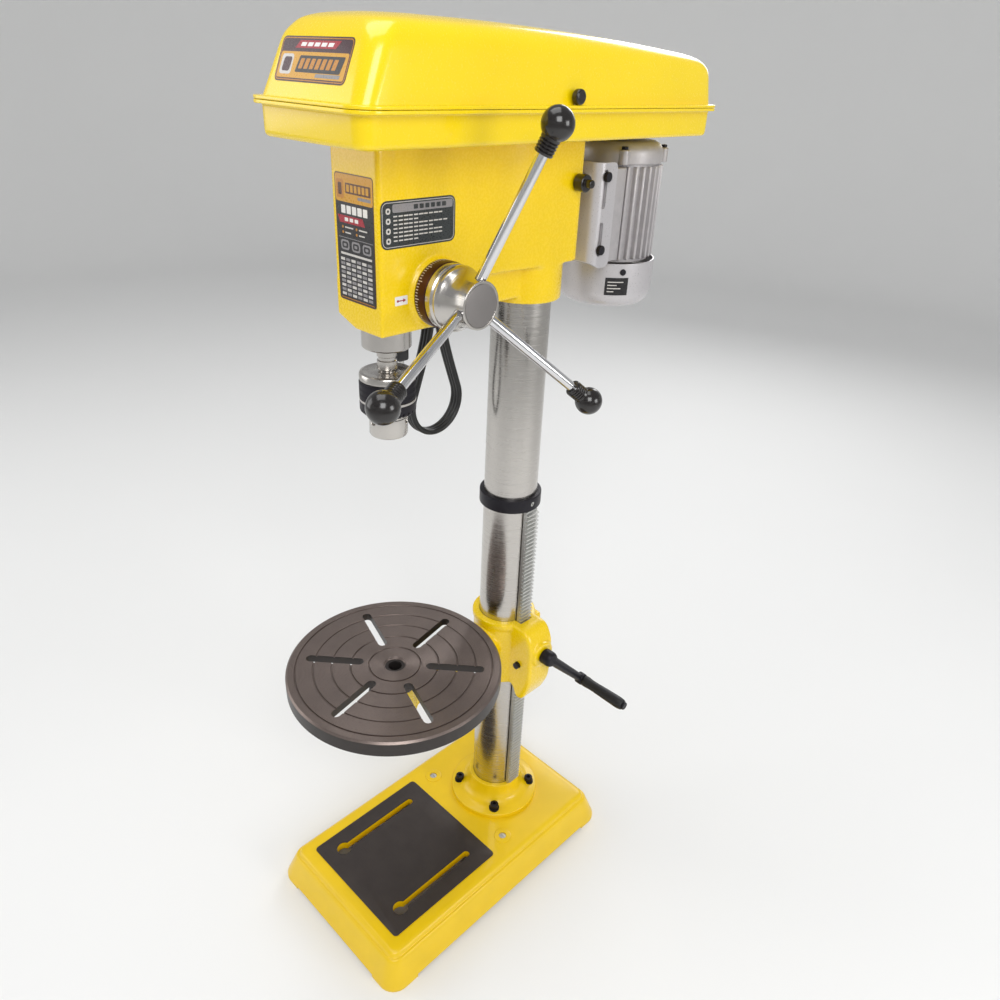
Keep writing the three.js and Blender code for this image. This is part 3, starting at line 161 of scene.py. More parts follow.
def bar(axis, radius, span, centre=(0, 0), sides=64):
    """A plain round bar along a named axis, used for bores, pins and bosses."""
    place = {"x": (0, *centre), "y": (centre[0], 0, centre[1]), "z": (*centre, 0)}[axis]
    low, high = span
    return turned([(0, low), (radius, low), (radius, high), (0, high)], place, axis, sides)


def rounded(points, radius, steps=5, closed=False):
    """Rounds a line's corners. The radius is one number, or one for each point."""
    radii = radius if hasattr(radius, "__len__") else [radius] * len(points)
    line = []
    for i, point in enumerate(points):
        here = Vector(point)
        if (not closed and i in (0, len(points) - 1)) or radii[i] <= 0:
            line.append(here)
            continue
        before = Vector(points[i - 1]) - here
        after = Vector(points[(i + 1) % len(points)]) - here
        start = here + before.normalized() * min(radii[i], before.length * 0.48)
        end = here + after.normalized() * min(radii[i], after.length * 0.48)
        for k in range(steps + 1):
            t = k / steps
            line.append(start * (1 - t) ** 2 + here * 2 * t * (1 - t) + end * t * t)
    return [tuple(p) for p in line]


def arc(centre, radius, start, end, steps):
    """Points on an arc, by its angles in degrees."""
    turns = [math.radians(start + (end - start) * k / steps) for k in range(steps + 1)]
    return [(centre[0] + radius * math.cos(t), centre[1] + radius * math.sin(t)) for t in turns]


def round_rect(u1, u2, v1, v2, r, steps=8, along=1):
    """A rectangle with round corners, its long sides split so that they can bend."""
    line = []
    corners_of = [(u2 - r, v1 + r, -90), (u2 - r, v2 - r, 0), (u1 + r, v2 - r, 90), (u1 + r, v1 + r, 180)]
    for k, (u, v, start) in enumerate(corners_of):
        line += arc((u, v), r, start, start + 90, steps)
        if along > 1 and k in (0, 2):
            first = Vector(line[-1])
            after = corners_of[k + 1]
            last = Vector((after[0] + (r if k == 0 else -r), after[1]))
            line += [tuple(first.lerp(last, n / along)) for n in range(1, along)]
    return line


def slot(start, end, r, steps=12):
    """A straight slot's outline, with round ends."""
    turn = math.degrees(math.atan2(end[1] - start[1], end[0] - start[0]))
    return arc(end, r, turn - 90, turn + 90, steps) + arc(start, r, turn + 90, turn + 270, steps)


def lofted(rings):
    """A skin over rings of equal count, closed by a flat face at each end."""
    count = len(rings[0])
    points = [Vector(p) for ring in rings for p in ring]
    faces = [tuple(reversed(range(count))), tuple(range(len(points) - count, len(points)))]
    for k in range(len(rings) - 1):
        a, b = k * count, (k + 1) * count
        faces += [(a + i, a + (i + 1) % count, b + (i + 1) % count, b + i) for i in range(count)]
    return points, faces


def prism(axis, outline, span, soft=0.0):
    """A plate. Its outline is drawn across the axis and can have soft rims."""
    place = {"x": lambda u, v, w: (w, u, v), "y": lambda u, v, w: (u, w, v), "z": lambda u, v, w: (u, v, w)}
    low, high = span
    levels = [(low, 0), (high, 0)]
    if soft:
        levels = [(low, soft), (low + soft * 0.3, soft * 0.3), (low + soft, 0),
                  (high - soft, 0), (high - soft * 0.3, soft * 0.3), (high, soft)]
    return lofted([[place[axis](u, v, w) for u, v in inset(outline, by)] for w, by in levels])


def inset(outline, by):
    """An outline drawn in by a small distance."""
    if not by:
        return outline
    area = sum(a[0] * b[1] - b[0] * a[1] for a, b in zip(outline, outline[1:] + outline[:1]))
    side = math.copysign(by, area)
    line = []
    for i, (u, v) in enumerate(outline):
        before, after = Vector(outline[i - 1]), Vector(outline[(i + 1) % len(outline)])
        run = after - before
        run = run.normalized() if run.length else Vector((1, 0))
        line.append((u - run.y * side, v + run.x * side))
    return line


def box(x, y, z):
    """A plain box between two values along each axis, used only to cut or to join."""
    return prism("z", [(x[0], y[0]), (x[1], y[0]), (x[1], y[1]), (x[0], y[1])], z)


def ball(centre, radius, sides=48):
    """A ball."""
    return turned([(radius * math.sin(math.pi * k / 24), -radius * math.cos(math.pi * k / 24))
                   for k in range(25)], centre, "z", sides)


def rod(start, end, radius, end_radius=None, soft=0.8):
    """A round rod between two points, tapered if the end radius differs."""
    end_radius = radius if end_radius is None else end_radius
    length = (Vector(end) - Vector(start)).length
    profile = rounded([(0, 0), (radius, 0), (end_radius, length), (0, length)], [0, soft, soft, 0], 3)
    return turned(profile, start, Vector(end) - Vector(start), 40)


def hexagon(axis, radius, span, centre, soft=0.8):
    """A hexagon head with softened corners."""
    outline = rounded([(centre[0] + radius * math.cos(math.radians(60 * k)),
                        centre[1] + radius * math.sin(math.radians(60 * k))) for k in range(6)],
                      1.0, 2, closed=True)
    return prism(axis, outline, span, soft)


# ---- pieces --------------------------------------------------------------------------------------

def mesh_object(name, shape):
    """A shape as a Blender object in metres, its faces pointing outwards."""
    mesh = bpy.data.meshes.new(name)
    points, faces = shape
    mesh.from_pydata([p * MM for p in map(Vector, points)], [], faces)
    made = bmesh.new()
    made.from_mesh(mesh)
    bmesh.ops.remove_doubles(made, verts=made.verts, dist=1e-6)
    bmesh.ops.dissolve_degenerate(made, edges=made.edges, dist=1e-7)
    bmesh.ops.recalc_face_normals(made, faces=made.faces)
    made.to_mesh(mesh)
    made.free()
    obj = bpy.data.objects.new(name, mesh)
    bpy.context.scene.collection.objects.link(obj)
    return obj


def settle(obj):
    """Applies an object's modifiers to its mesh."""
    mesh = evaluated(obj)
    obj.modifiers.clear()
    obj.data = mesh


def combine(obj, shape, operation):
    """Joins a shape to an object, cuts it out, or keeps what both have."""
    tool = mesh_object("tool", shape)
    step = obj.modifiers.new("combine", "BOOLEAN")
    step.object, step.operation, step.solver = tool, operation, "MANIFOLD"
    settle(obj)
    bpy.data.objects.remove(tool)


def melt(obj, voxel, rounds):
    """Runs the joined shapes into one skin with soft, cast inside and outside corners."""
    step = obj.modifiers.new("melt", "REMESH")
    step.mode, step.voxel_size = "VOXEL", voxel * MM
    soften = obj.modifiers.new("soften", "SMOOTH")
    soften.factor, soften.iterations = 0.5, rounds
    settle(obj)


def piece(name, body, look, shapes, cuts=(), keep=None, cast=None, nodes=(), crease=32,
          blend=None):
    """Makes one finished piece: joined, cast, cut, shaded, and riding on its body."""
    obj = mesh_object(name, shapes[0])
    for shape in shapes[1:]:
        combine(obj, shape, "UNION")
    if keep:
        combine(obj, keep, "INTERSECT")
    if cast:
        melt(obj, *cast)
    for shape in cuts:
        combine(obj, shape, "DIFFERENCE")
    obj.data.shade_smooth()
    obj.data.set_sharp_from_angle(angle=math.radians(crease))
    obj.data.materials.clear()
    obj.data.materials.append(look)
    obj.name = name
    if blend:
        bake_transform(obj)
    else:
        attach(obj, body)
    if nodes:
        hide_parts(*nodes)
    return obj


# ---- finishes ------------------------------------------------------------------------------------

def linear(colour):
    """An sRGB hex colour as linear red, green, blue and alpha."""
    parts = [int(colour[k:k + 2], 16) / 255 for k in (0, 2, 4)]
    return (*[c / 12.92 if c <= 0.04045 else ((c + 0.055) / 1.055) ** 2.4 for c in parts], 1.0)


def add(tree, kind, inputs=None, **settings):
    """Adds a node with its settings, and gives its inputs values or links."""
    made = tree.nodes.new(kind)
    for name, value in settings.items():
        setattr(made, name, value)
    for name, value in (inputs or {}).items():
        if isinstance(value, bpy.types.NodeSocket):
            tree.links.new(value, made.inputs[name])
        else:
            made.inputs[name].default_value = value
    return made


def surface(name, colour, roughness, metallic=0.0, coat=0.0, shade=0.06, patch=45, grain=1.5,
            depth=0.02, scatter=0.06, stretch=(1, 1, 1), rings=None, specular=0.5):
    """A finish: colour in soft patches, uneven gloss, and relief from its grain.

    Patch and grain are sizes in millimetres, and depth is the relief's in millimetres. Stretch
    draws the grain out. Rings gives turning marks, as (axis, across 1, across 2, pitch, depth).
    """
    if name in bpy.data.materials:
        return bpy.data.materials[name]
    look = bpy.data.materials.new(name)
    look.use_nodes = True
    tree = look.node_tree
    shader = tree.nodes["Principled BSDF"]
    shader.inputs["Metallic"].default_value = metallic
    shader.inputs["Coat Weight"].default_value = coat
    shader.inputs["Coat Roughness"].default_value = 0.08
    shader.inputs["Specular IOR Level"].default_value = specular
    place = add(tree, "ShaderNodeTexCoord").outputs["Object"]
    patches = add(tree, "ShaderNodeTexNoise", {"Vector": place, "Scale": 1 / (patch * MM), "Detail": 3.0})
    base = linear(colour)
    darker = (*[c * (1 - 2 * shade) for c in base[:3]], 1.0)
    mixed = add(tree, "ShaderNodeMix", {0: patches.outputs["Fac"], 6: darker, 7: base}, data_type="RGBA")
    tree.links.new(mixed.outputs[2], shader.inputs["Base Color"])
    drawn = add(tree, "ShaderNodeMapping", {"Vector": place, "Scale": stretch}).outputs["Vector"]
    fine = add(tree, "ShaderNodeTexNoise", {"Vector": drawn, "Scale": 1 / (grain * MM), "Detail": 4.0})
    gloss = add(tree, "ShaderNodeMapRange", {"Value": fine.outputs["Fac"], "From Min": 0.3, "From Max": 0.7,
                "To Min": max(0.02, roughness - scatter), "To Max": roughness + scatter})
    tree.links.new(gloss.outputs["Result"], shader.inputs["Roughness"])
    relief = add(tree, "ShaderNodeBump", {"Height": fine.outputs["Fac"], "Distance": depth * MM})
    if rings:
        axis, first, second, pitch, cut = rings
        parts = add(tree, "ShaderNodeSeparateXYZ", {"Vector": place})
        across = [c for c in "XYZ" if c != axis]
        offsets = [add(tree, "ShaderNodeMath", {0: parts.outputs[c], 1: at * MM}, operation="SUBTRACT")
                   for c, at in zip(across, (first, second))]
        flat = add(tree, "ShaderNodeCombineXYZ", {"X": offsets[0].outputs[0], "Y": offsets[1].outputs[0]})
        radius = add(tree, "ShaderNodeVectorMath", {0: flat.outputs[0]}, operation="LENGTH")
        reach = add(tree, "ShaderNodeMath", {0: radius.outputs["Value"], 1: parts.outputs[axis]},
                    operation="ADD")
        wave = add(tree, "ShaderNodeMath", {0: reach.outputs[0], 1: math.tau / (pitch * MM)},
                   operation="MULTIPLY")
        groove = add(tree, "ShaderNodeMath", {0: wave.outputs[0]}, operation="SINE")
        relief = add(tree, "ShaderNodeBump", {"Height": groove.outputs[0], "Distance": cut * MM,
                                              "Normal": relief.outputs[0]})
    tree.links.new(relief.outputs[0], shader.inputs["Normal"])
    return look


def casting_enamel():
    # Gloss enamel sprayed over rough sand-cast iron: deep yellow, wavy, with orange peel.
    return surface("yellow_enamel_on_cast_iron", "F8D200", 0.27, coat=0.35, shade=0.05, patch=60,
                   grain=2.6, depth=0.05)


def cover_enamel():
    # The same enamel over smooth pressed steel: flatter, brighter, with a finer peel.
    return surface("yellow_enamel_on_pressed_steel", "FAD900", 0.24, coat=0.4, shade=0.04, patch=90,
                   grain=1.8, depth=0.018)


def base_enamel():
    # The enamel on the foot is a little duller and more orange than on the head.
    return surface("yellow_enamel_on_base", "F5CC00", 0.34, coat=0.25, shade=0.07, patch=35,
                   grain=2.6, depth=0.06)


def ground_tube():
    # Centreless-ground steel tube: bright, with fine marks that run round it.
    return surface("ground_steel_tube", "C8C4BF", 0.24, metallic=1.0, shade=0.05, patch=120, grain=0.9,
                   depth=0.004, stretch=(0.02, 0.02, 1), scatter=0.07)


def turned_steel(name, axis, first, second, pitch=0.9):
    # Lathe-turned steel: bright rings from the tool, uneven reflections.
    return surface(name, "C9C5C0", 0.2, metallic=1.0, shade=0.05, patch=30, grain=0.8, depth=0.003,
                   rings=(axis, first, second, pitch, 0.012))


def chrome_plate():
    # Bright chrome plate: nearly a mirror, with the faintest ripple.
    return surface("chrome_plate", "DCDCDE", 0.07, metallic=1.0, shade=0.02, patch=40, grain=3,
                   depth=0.006, scatter=0.03)


def plain_steel():
    # Machined steel inside the works, with an oily film.
    return surface("machined_steel", "B5B1AB", 0.3, metallic=1.0, shade=0.08, patch=18, grain=0.7,
                   depth=0.006)


def black_oxide():
    # Chemically blackened steel: charcoal, satin, faintly mottled.
    return surface("blackened_steel", "26242A", 0.42, metallic=0.6, shade=0.15, patch=12, grain=0.6,
                   depth=0.01)


def black_gloss():
    # Phenolic ball handles: near black, glossy, with a warm cast.
    return surface("phenolic_black", "1B1716", 0.2, coat=0.3, shade=0.12, patch=20, grain=2, depth=0.008)


def black_matt():
    # Injection-moulded grip and switch plastic, with a spark-eroded texture.
    return surface("moulded_black_abs", "17171A", 0.48, shade=0.1, patch=30, grain=0.5, depth=0.02)


def silver_casting():
    # Silver-grey paint on a rough die casting: pitted and uneven.
    return surface("silver_paint_on_casting", "BDB9BA", 0.42, metallic=0.35, shade=0.12, patch=9,
                   grain=1.6, depth=0.16, scatter=0.1)


def silver_sheet():
    # The same paint on smooth sheet steel.
    return surface("silver_paint_on_sheet", "C4C1C3", 0.32, metallic=0.35, shade=0.04, patch=50,
                   grain=1.4, depth=0.02)


def zinc_plate():
    # Zinc-plated steel: pale, greyish and slightly cloudy.
    return surface("zinc_plate", "A9A8A0", 0.34, metallic=0.9, shade=0.14, patch=6, grain=0.8, depth=0.01)


def cast_aluminium():
    # Turned aluminium pulleys: pale and satin, with an uneven gloss.
    return surface("turned_aluminium", "BEC0C2", 0.33, metallic=1.0, shade=0.06, patch=15, grain=0.8,
                   depth=0.008)


def belt_rubber():
    # A rubber V-belt with a dusty cloth jacket.
    return surface("jacketed_rubber", "242322", 0.8, shade=0.15, patch=8, grain=0.7, depth=0.05)


def cable_vinyl():
    # Soft black PVC lead and mouldings.
    return surface("black_pvc", "161617", 0.42, shade=0.08, patch=25, grain=1.2, depth=0.01)


def print_ink(name, colour, roughness=0.3):
    # Ink under a clear label film: flat colour with the film's soft gloss.
    return surface(f"label_{name}", colour, roughness, shade=0.04, patch=7, grain=1.5, depth=0.003, coat=0.2)


# ---- settings ------------------------------------------------------------------------------------

class PressSettings(bpy.types.PropertyGroup):
    """What a user might change."""

    cast_softness: bpy.props.IntProperty(
        name="Cast softness", description="Rounds of smoothing on the castings' corners", default=7,
        min=0, max=30)
    cast_voxel: bpy.props.FloatProperty(
        name="Cast voxel", description="Size of the castings' mesh, in millimetres", default=1.7,
        min=0.8, max=5)
    knurl_pitch: bpy.props.FloatProperty(
        name="Knurl pitch", description="Distance between knurls, in millimetres", default=2.4,
        min=0.8, max=6)
    cord_diameter: bpy.props.FloatProperty(
        name="Cord diameter", description="Diameter of the power lead", default=0.007, unit="LENGTH")
    key_light: bpy.props.FloatProperty(
        name="Key light", description="Power of the main softbox, in watts", default=34.0, min=0)
    room_light: bpy.props.FloatProperty(
        name="Room light", description="Brightness of the room round the stage", default=0.42, min=0)


def settings():
    return bpy.context.scene.drill_press


def cast():
    """The castings' voxel size and smoothing."""
    return settings().cast_voxel, settings().cast_softness


# ---- stage and camera ----------------------------------------------------------------------------

class DRILLPRESS_OT_stage(bpy.types.Operator):
    """Adds the pale floor, the softboxes and the camera"""

    bl_idname = "drill_press.stage"
    bl_label = "Stage"

    def execute(self, context):
        self.camera(context.scene)
        self.floor()
        self.lights(context.scene)
        return {"FINISHED"}

    def camera(self, scene):
        """A camera at the belt guard's height, in front and to the right, looking down."""
        azimuth, elevation, roll = (math.radians(a) for a in (43.554, 29.116, 2.687))
        back = Vector((math.sin(azimuth) * math.cos(elevation), -math.cos(azimuth) * math.cos(elevation),
                       math.sin(elevation)))
        level = Vector((math.cos(azimuth), math.sin(azimuth), 0))
        upright = back.cross(level)
        right = level * math.cos(roll) + upright * math.sin(roll)
        up = upright * math.cos(roll) - level * math.sin(roll)
        lens = bpy.data.cameras.new("camera")
        lens.lens, lens.sensor_width = 28.62, 36
        lens.shift_x, lens.shift_y = 0.0045, 0.005
        lens.clip_start, lens.clip_end = 0.05, 50
        camera = bpy.data.objects.new("camera", lens)
        camera.matrix_world = Matrix.Translation((0.65345, -0.71582, 1.14446)) @ Matrix(
            (right, up, back)).transposed().to_4x4()
        scene.collection.objects.link(camera)
        scene.camera = camera

    def floor(self):
        """A round pale floor that curves up into a wall."""
        profile = [(0, 0), (4200, 0)] + [(4200 + 900 * math.sin(t), 900 - 900 * math.cos(t)) for t in
                                         (math.radians(10 * k) for k in range(1, 10))] + [(5100, 2600)]
        obj = mesh_object("floor", turned([(r, h - 0.2) for r, h in profile], sides=128))
        obj.data.shade_smooth()
        # Matt paper backdrop: almost white, with no gloss.
        obj.data.materials.append(surface("pale_floor", "EFEFEE", 0.85, shade=0.01, patch=400, grain=4,
                                          depth=0.01, specular=0.2))

    def lights(self, scene):
        """A key softbox on the right, a broad fill, a strip for the steel, a top and a rim light."""
        key = settings().key_light
        softboxes = [
            ("key", (1.7, -1.5, 2.3), (0, -0.1, 0.75), 1.3, 1.0),
            ("fill", (-2.2, -1.9, 1.5), (0, -0.1, 0.6), 1.8, 0.55),
            ("strip", (2.4, 0.6, 1.3), (0, 0, 0.6), 0.9, 0.45),
            ("top", (-0.3, -0.4, 3.2), (0, -0.05, 0.5), 1.8, 0.75),
            ("rim", (-0.9, 2.3, 1.9), (0, 0, 0.8), 1.2, 0.6)]
        for name, place, aim, size, share in softboxes:
            light = bpy.data.lights.new(name, "AREA")
            light.shape, light.size, light.energy = "SQUARE", size, key * share
            lamp = bpy.data.objects.new(name, light)
            lamp.location = place
            lamp.rotation_euler = (Vector(aim) - Vector(place)).to_track_quat("-Z", "Y").to_euler()
            scene.collection.objects.link(lamp)
        world = bpy.data.worlds.new("room")
        world.use_nodes = True
        world.node_tree.nodes["Background"].inputs[0].default_value = linear("F4F5F7")
        world.node_tree.nodes["Background"].inputs[1].default_value = settings().room_light
        scene.world = world
        scene.view_settings.view_transform = "Standard"


# ---- power lead ----------------------------------------------------------------------------------

# The lead from its boot to the top of the hank, listed one by one.
LEAD_ROUTE = [(-50, -123.6, 996), (-50, -117, 995.2), (-50.3, -110.5, 992.8), (-50.8, -104.8, 988.6),
              (-51.4, -100.4, 983), (-52.1, -97.8, 976.6), (-53, -97, 970), (-55, -96.6, 956)]
HANK = {"y": -97, "top": 944, "bottom": 727, "top_half": 25, "bottom_half": 43, "waist": 872,
        "waist_half": 13, "turns": 3}
PLUG_Y, PLUG_TOP = -152, 886


def hank_route(radius):
    """The tied-up lead's centre line: three turns round a narrow top and a wide bottom loop."""
    y, waist, half = HANK["y"], HANK["waist"], HANK["waist_half"] - radius
    top_r, bottom_r = HANK["top_half"] - radius, HANK["bottom_half"] - radius
    top_z, bottom_z = HANK["top"] - HANK["top_half"], HANK["bottom"] + HANK["bottom_half"]
    over = arc((y, top_z), top_r, 204, -24, 14)
    down = [(y + top_r - (top_r - half) * 0.55, 896), (y + half, waist), (y + half + 8, 838)]
    under = arc((y, bottom_z), bottom_r, 24, -204, 20)
    up = [(2 * y - u, z) for u, z in reversed(down)]
    line = []
    for turn in range(HANK["turns"]):
        line += (over if turn else [(y + 9, 941), (y + top_r - 4, 917)]) + down + under + up
    line[-1] = (y - half, 884)
    return [(-57 + 14 * i / (len(line) - 1), u, z) for i, (u, z) in enumerate(line)]


class DRILLPRESS_OT_lead(bpy.types.Operator):
    """Adds the power lead, its tie, its strain relief and its plug"""

    bl_idname = "drill_press.lead"
    bl_label = "Power lead"

    def execute(self, context):
        vinyl = cable_vinyl()
        radius = settings().cord_diameter / MM / 2
        plug = self.plug(vinyl)
        # From the hank the tail goes over in a half circle and drops to the plug.
        tail = [(-42, y, z) for y, z in arc((-129.4, 895), 22.8, 0, 180, 12)] + [(-50, PLUG_Y, PLUG_TOP + 1)]
        tail = [(x - 7 * k / (len(tail) - 1), y, z) for k, (x, y, z) in enumerate(tail[:-1])] + tail[-1:]
        route = LEAD_ROUTE + hank_route(radius) + tail
        curve = bpy.data.curves.new("lead_line", "CURVE")
        curve.dimensions, curve.resolution_u, curve.bevel_resolution = "3D", 6, 6
        curve.use_fill_caps = True
        spline = curve.splines.new("NURBS")
        spline.points.add(len(route) - 1)
        for point, place in zip(spline.points, route):
            point.co = (*[c * MM for c in place], 1)
        spline.use_endpoint_u, spline.order_u = True, 4
        drawn = bpy.data.objects.new("lead_line", curve)
        context.scene.collection.objects.link(drawn)
        line = [v.co.copy() for v in evaluated(drawn).vertices]
        curve.bevel_depth = radius * MM
        lead = bpy.data.objects.new("power_lead", evaluated(drawn))
        context.scene.collection.objects.link(lead)
        bpy.data.objects.remove(drawn)
        lead.data.shade_smooth()
        lead.data.materials.clear()
        lead.data.materials.append(vinyl)
        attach(lead, "stand")
        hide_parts("power_cord", "cord_hank")
        # Nylon tie round the waist of the hank.
        outline = round_rect(-61.5, -38.5, HANK["y"] - 14.2, HANK["y"] + 14.2, 7, 8)
        tie = piece("cord_tie", "stand", black_matt(), [prism("z", outline, (867, 876), 1.2)],
                    cuts=[prism("z", inset(outline, 1.4), (860, 880))])
        self.strain_relief(vinyl)
        return {"FINISHED"}

    def strain_relief(self, look):
        """A tapered, ribbed rubber sleeve where the lead leaves the switch box."""
        x, y, z = GLAND
        profile = [(0, y - 4), (4.6, y - 4), (4.6, y + 0.4), (8, y + 0.6), (8, y + 4), (6.4, y + 5)]
        for k in range(6):
            along = y + 7 + 3 * k
            r = 6.2 - 0.26 * k
            profile += [(r, along), (r, along + 1.4), (r - 0.9, along + 1.7), (r - 0.9, along + 2.7)]
        profile += [(4.6, y + 25.4), (4.2, y + 26), (0, y + 26)]
        piece("strain_relief_boot", "stand", look, [turned(profile, (x, 0, z), "y", 48)],
              nodes=["strain_relief"])

    def plug(self, look):
        """A moulded two-pin plug that hangs with its flat pins down."""
        y = PLUG_Y
        outline = rounded([(y - 8, 836), (y + 7.5, 836), (y + 7.5, 858), (y + 5, 872), (y - 5, 872),
                           (y - 8, 858)], 4, 5, closed=True)
        body = piece("plug_body", "stand", look, [
            prism("x", outline, (-61, -39), 2.5),
            turned([(0, 868), (6.5, 868), (5.2, 874), (5.8, 875), (5.0, 879), (5.4, 880), (4.6, 885),
                    (4.0, 886), (0, 886)], (-50, y, 0), "z", 40)], nodes=["plug"])
        pins = [piece(f"plug_pin_{k + 1}", "stand", zinc_plate(),
                      [prism("x", rounded([(y - 3.2, 819.2), (y + 3.2, 819.2), (y + 3.2, 838),
                                           (y - 3.2, 838)], 1.2, 3, closed=True), (x - 0.8, x + 0.8), 0.3)]) for k, x in enumerate((-55.5, -44.5))]
        return [body, *pins]


def evaluated(obj):
    """What an object looks like with its curve or modifiers worked out, as a new mesh."""
    graph = bpy.context.evaluated_depsgraph_get()
    graph.update()
    return bpy.data.meshes.new_from_object(obj.evaluated_get(graph))


# ---- base, flange, column and rack collar --------------------------------------------------------

def base_outline(by):
    half = BASE["half"] - by
    corner = max(4, BASE["corner"] - 0.6 * by)
    return round_rect(-half, half, BASE["front"] + by, BASE["back"] - by, corner, 8)


def skin(profile, outline):
    """A skin whose outline is drawn in by each profile point's first value, at its second."""
    return lofted([[(u, v, z) for u, v in outline(by)] for by, z in profile])


def at_corners(radius, count, first):
    """Places round a circle: first angle in degrees."""
    turns = [math.radians(first + 360 * k / count) for k in range(count)]
    return [(radius * math.cos(t), radius * math.sin(t)) for t in turns]


def cap_screw(name, body, place, head, look, up=1):
    """A socket-head cap screw that stands on a face."""
    x, y, z = place
    r, height = head
    profile = stub(r, (0, height), (0.4, 1.0), 4)
    ridges = round(math.tau * r / 1.3)

    def ridged(turn, along):
        """Straight knurls on the head's side."""
        return -0.22 * (math.cos(ridges * turn) < 0) * (0.8 < along < height - 1)
    return piece(name, body, look,
                 [turned(profile, place, "z", ridges * 4, ridged)],
                 cuts=[hexagon("z", r * 0.52, (z + height * 0.45, z + height + 2), (x, y), 0.2)])


class DRILLPRESS_OT_base(bpy.types.Operator):
    """Adds the cast foot, its machined pad and its fittings"""

    bl_idname = "drill_press.base"
    bl_label = "Base"

    def execute(self, context):
        wall, top = BASE["wall"], BASE["top"]
        outside = rounded([(0, 0), (0, 4), (13.5, 41), (15.5, 44.2), (18.5, 44.6), (20.5, 50.5),
                           (26, top), (60, top)], [0, 1, 3, 1.6, 1.2, 2.5, 4, 0], 4)
        inside = [(wall, -1), (wall + 12, top - wall), (60, top - wall)]
        slots = [prism("z", slot((x, CLAMP_SLOT_Y[0]), (x, CLAMP_SLOT_Y[1]), CLAMP_SLOT_R), (-2, 60))
                 for x in (-CLAMP_SLOT_X, CLAMP_SLOT_X)]
        entries = [bar("z", 11, (-2, 60), (x, CLAMP_SLOT_Y[0])) for x in (-CLAMP_SLOT_X, CLAMP_SLOT_X)]
        bosses = [(x, -64.8) for x in (-84.5, 84.5)]
        pad = round_rect(-PAD["half"], PAD["half"], PAD["front"], PAD["back"], 6)
        shell = mesh_object("shell", skin(outside, base_outline))
        combine(shell, skin(inside, base_outline), "DIFFERENCE")
        raised = turned(stub(14, (40, top + 1.2), (0, 1.6), 4),
                        (0, 0, 0))
        for shape in [box((-118, 118), (-4, 4), (6, 46)), box((-4, 4), (-316, 100), (6, 46)),
                      bar("z", 46, (0, 46)), prism("z", pad, (40, top + 0.3))]:
            combine(shell, shape, "UNION")
        for x, y in bosses:
            combine(shell, ([p + Vector((x, y, 0)) for p in raised[0]], raised[1]), "UNION")
        combine(shell, box((-95, 95), (-400, 200), (-1, 5)), "DIFFERENCE")
        combine(shell, box((-200, 200), (-290, 76), (-1, 5)), "DIFFERENCE")
        for shape in [*slots, *entries, *[bar("z", 6, (-2, 60), place) for place in bosses],
                      *[bar("z", 5, (-2, 60), place) for place in at_corners(FLANGE_BOLT_R, 4, 45)]]:
            combine(shell, shape, "DIFFERENCE")
        piece("base_casting", "stand", base_enamel(), [shape_of(shell)], nodes=["base"],
              crease=28)
        # Planed cast iron, brown-grey, with faint straight tool marks.
        planed = surface("planed_cast_iron", "4B4441", 0.46, metallic=0.55, shade=0.14, patch=22, grain=0.9,
                         depth=0.015, stretch=(0.05, 1, 1), scatter=0.1)
        piece("base_pad", "stand", planed, [prism("z", pad, (top + 0.3, PAD["top"]), 0.5)],
              cuts=[*slots, *entries])
        for k, (x, y) in enumerate(bosses):
            piece(f"base_plug_{k + 1}", "stand", zinc_plate(),
                  [turned(stub(5.8, (46, 52.4), (0, 0.6), 3),
                          (x, y, 0), "z", 48)],
                  cuts=[box((x - 4.6, x + 4.6), (y - 0.6, y + 0.6), (51.2, 53))])
        self.column(context)
        return {"FINISHED"}

    def column(self, context):
        """The flange with its screws, the tube, and the collar that holds the rack."""
        gap = COLUMN_R + 0.3
        neck = rounded([(gap, 52.8), (72, 52.8), (72, 59.5), (57, 63), (49, 68.5), (44.6, 80), (43.2, 95),
                        (gap, 95)], [0, 0, 1.5, 5, 5, 8, 1.2, 0], 5)
        piece("column_flange_cast", "stand", base_enamel(), [hollow(neck, sides=128)],
              cuts=[bar("z", 5.2, (50, 80), place) for place in at_corners(FLANGE_BOLT_R, 4, 45)],
              nodes=["column_flange"])
        for k, (x, y) in enumerate(at_corners(FLANGE_BOLT_R, 4, 45)):
            piece(f"flange_washer_{k + 1}", "stand", black_oxide(),
                  [turned(stub(8.6, (60.6, 64.2), (0, 0.5), 3),
                          (x, y, 0), "z", 40)])
            cap_screw(f"flange_screw_{k + 1}", "stand", (x, y, 64.2), (6.8, 8), black_oxide())
        wall = COLUMN_R - 4
        tube = rounded([(wall, COLUMN_BOTTOM), (COLUMN_R, COLUMN_BOTTOM), (COLUMN_R, COLUMN_TOP),
                        (wall, COLUMN_TOP)], [0, 0.6, 0.6, 0], 3)
        piece("column_tube", "stand", ground_tube(), [hollow(tube, sides=160)],
              nodes=["column"])
        low, high, outer = COLLAR
        ring = rounded([(gap, low), (outer, low), (outer, high), (gap, high)], [0, 1.4, 1.4, 0], 4)
        middle = (low + high) / 2
        piece("rack_collar_ring", "stand", black_oxide(), [hollow(ring, sides=128)],
              cuts=[bar("x", 3.6, (30, 60), (0, middle))], nodes=["rack_collar"])
        piece("collar_set_screw", "stand", zinc_plate(), [bar("x", 3.4, (37.4, 41.6), (0, middle))],
              cuts=[hexagon("x", 1.8, (39.4, 44), (0, middle), 0.1)])


def shape_of(obj):
    """An object's mesh as a shape again, after which the object is gone."""
    shape = ([v.co / MM for v in obj.data.vertices], [tuple(p.vertices) for p in obj.data.polygons])
    bpy.data.objects.remove(obj)
    return shape


# ---- table, its bracket and its locks ------------------------------------------------------------

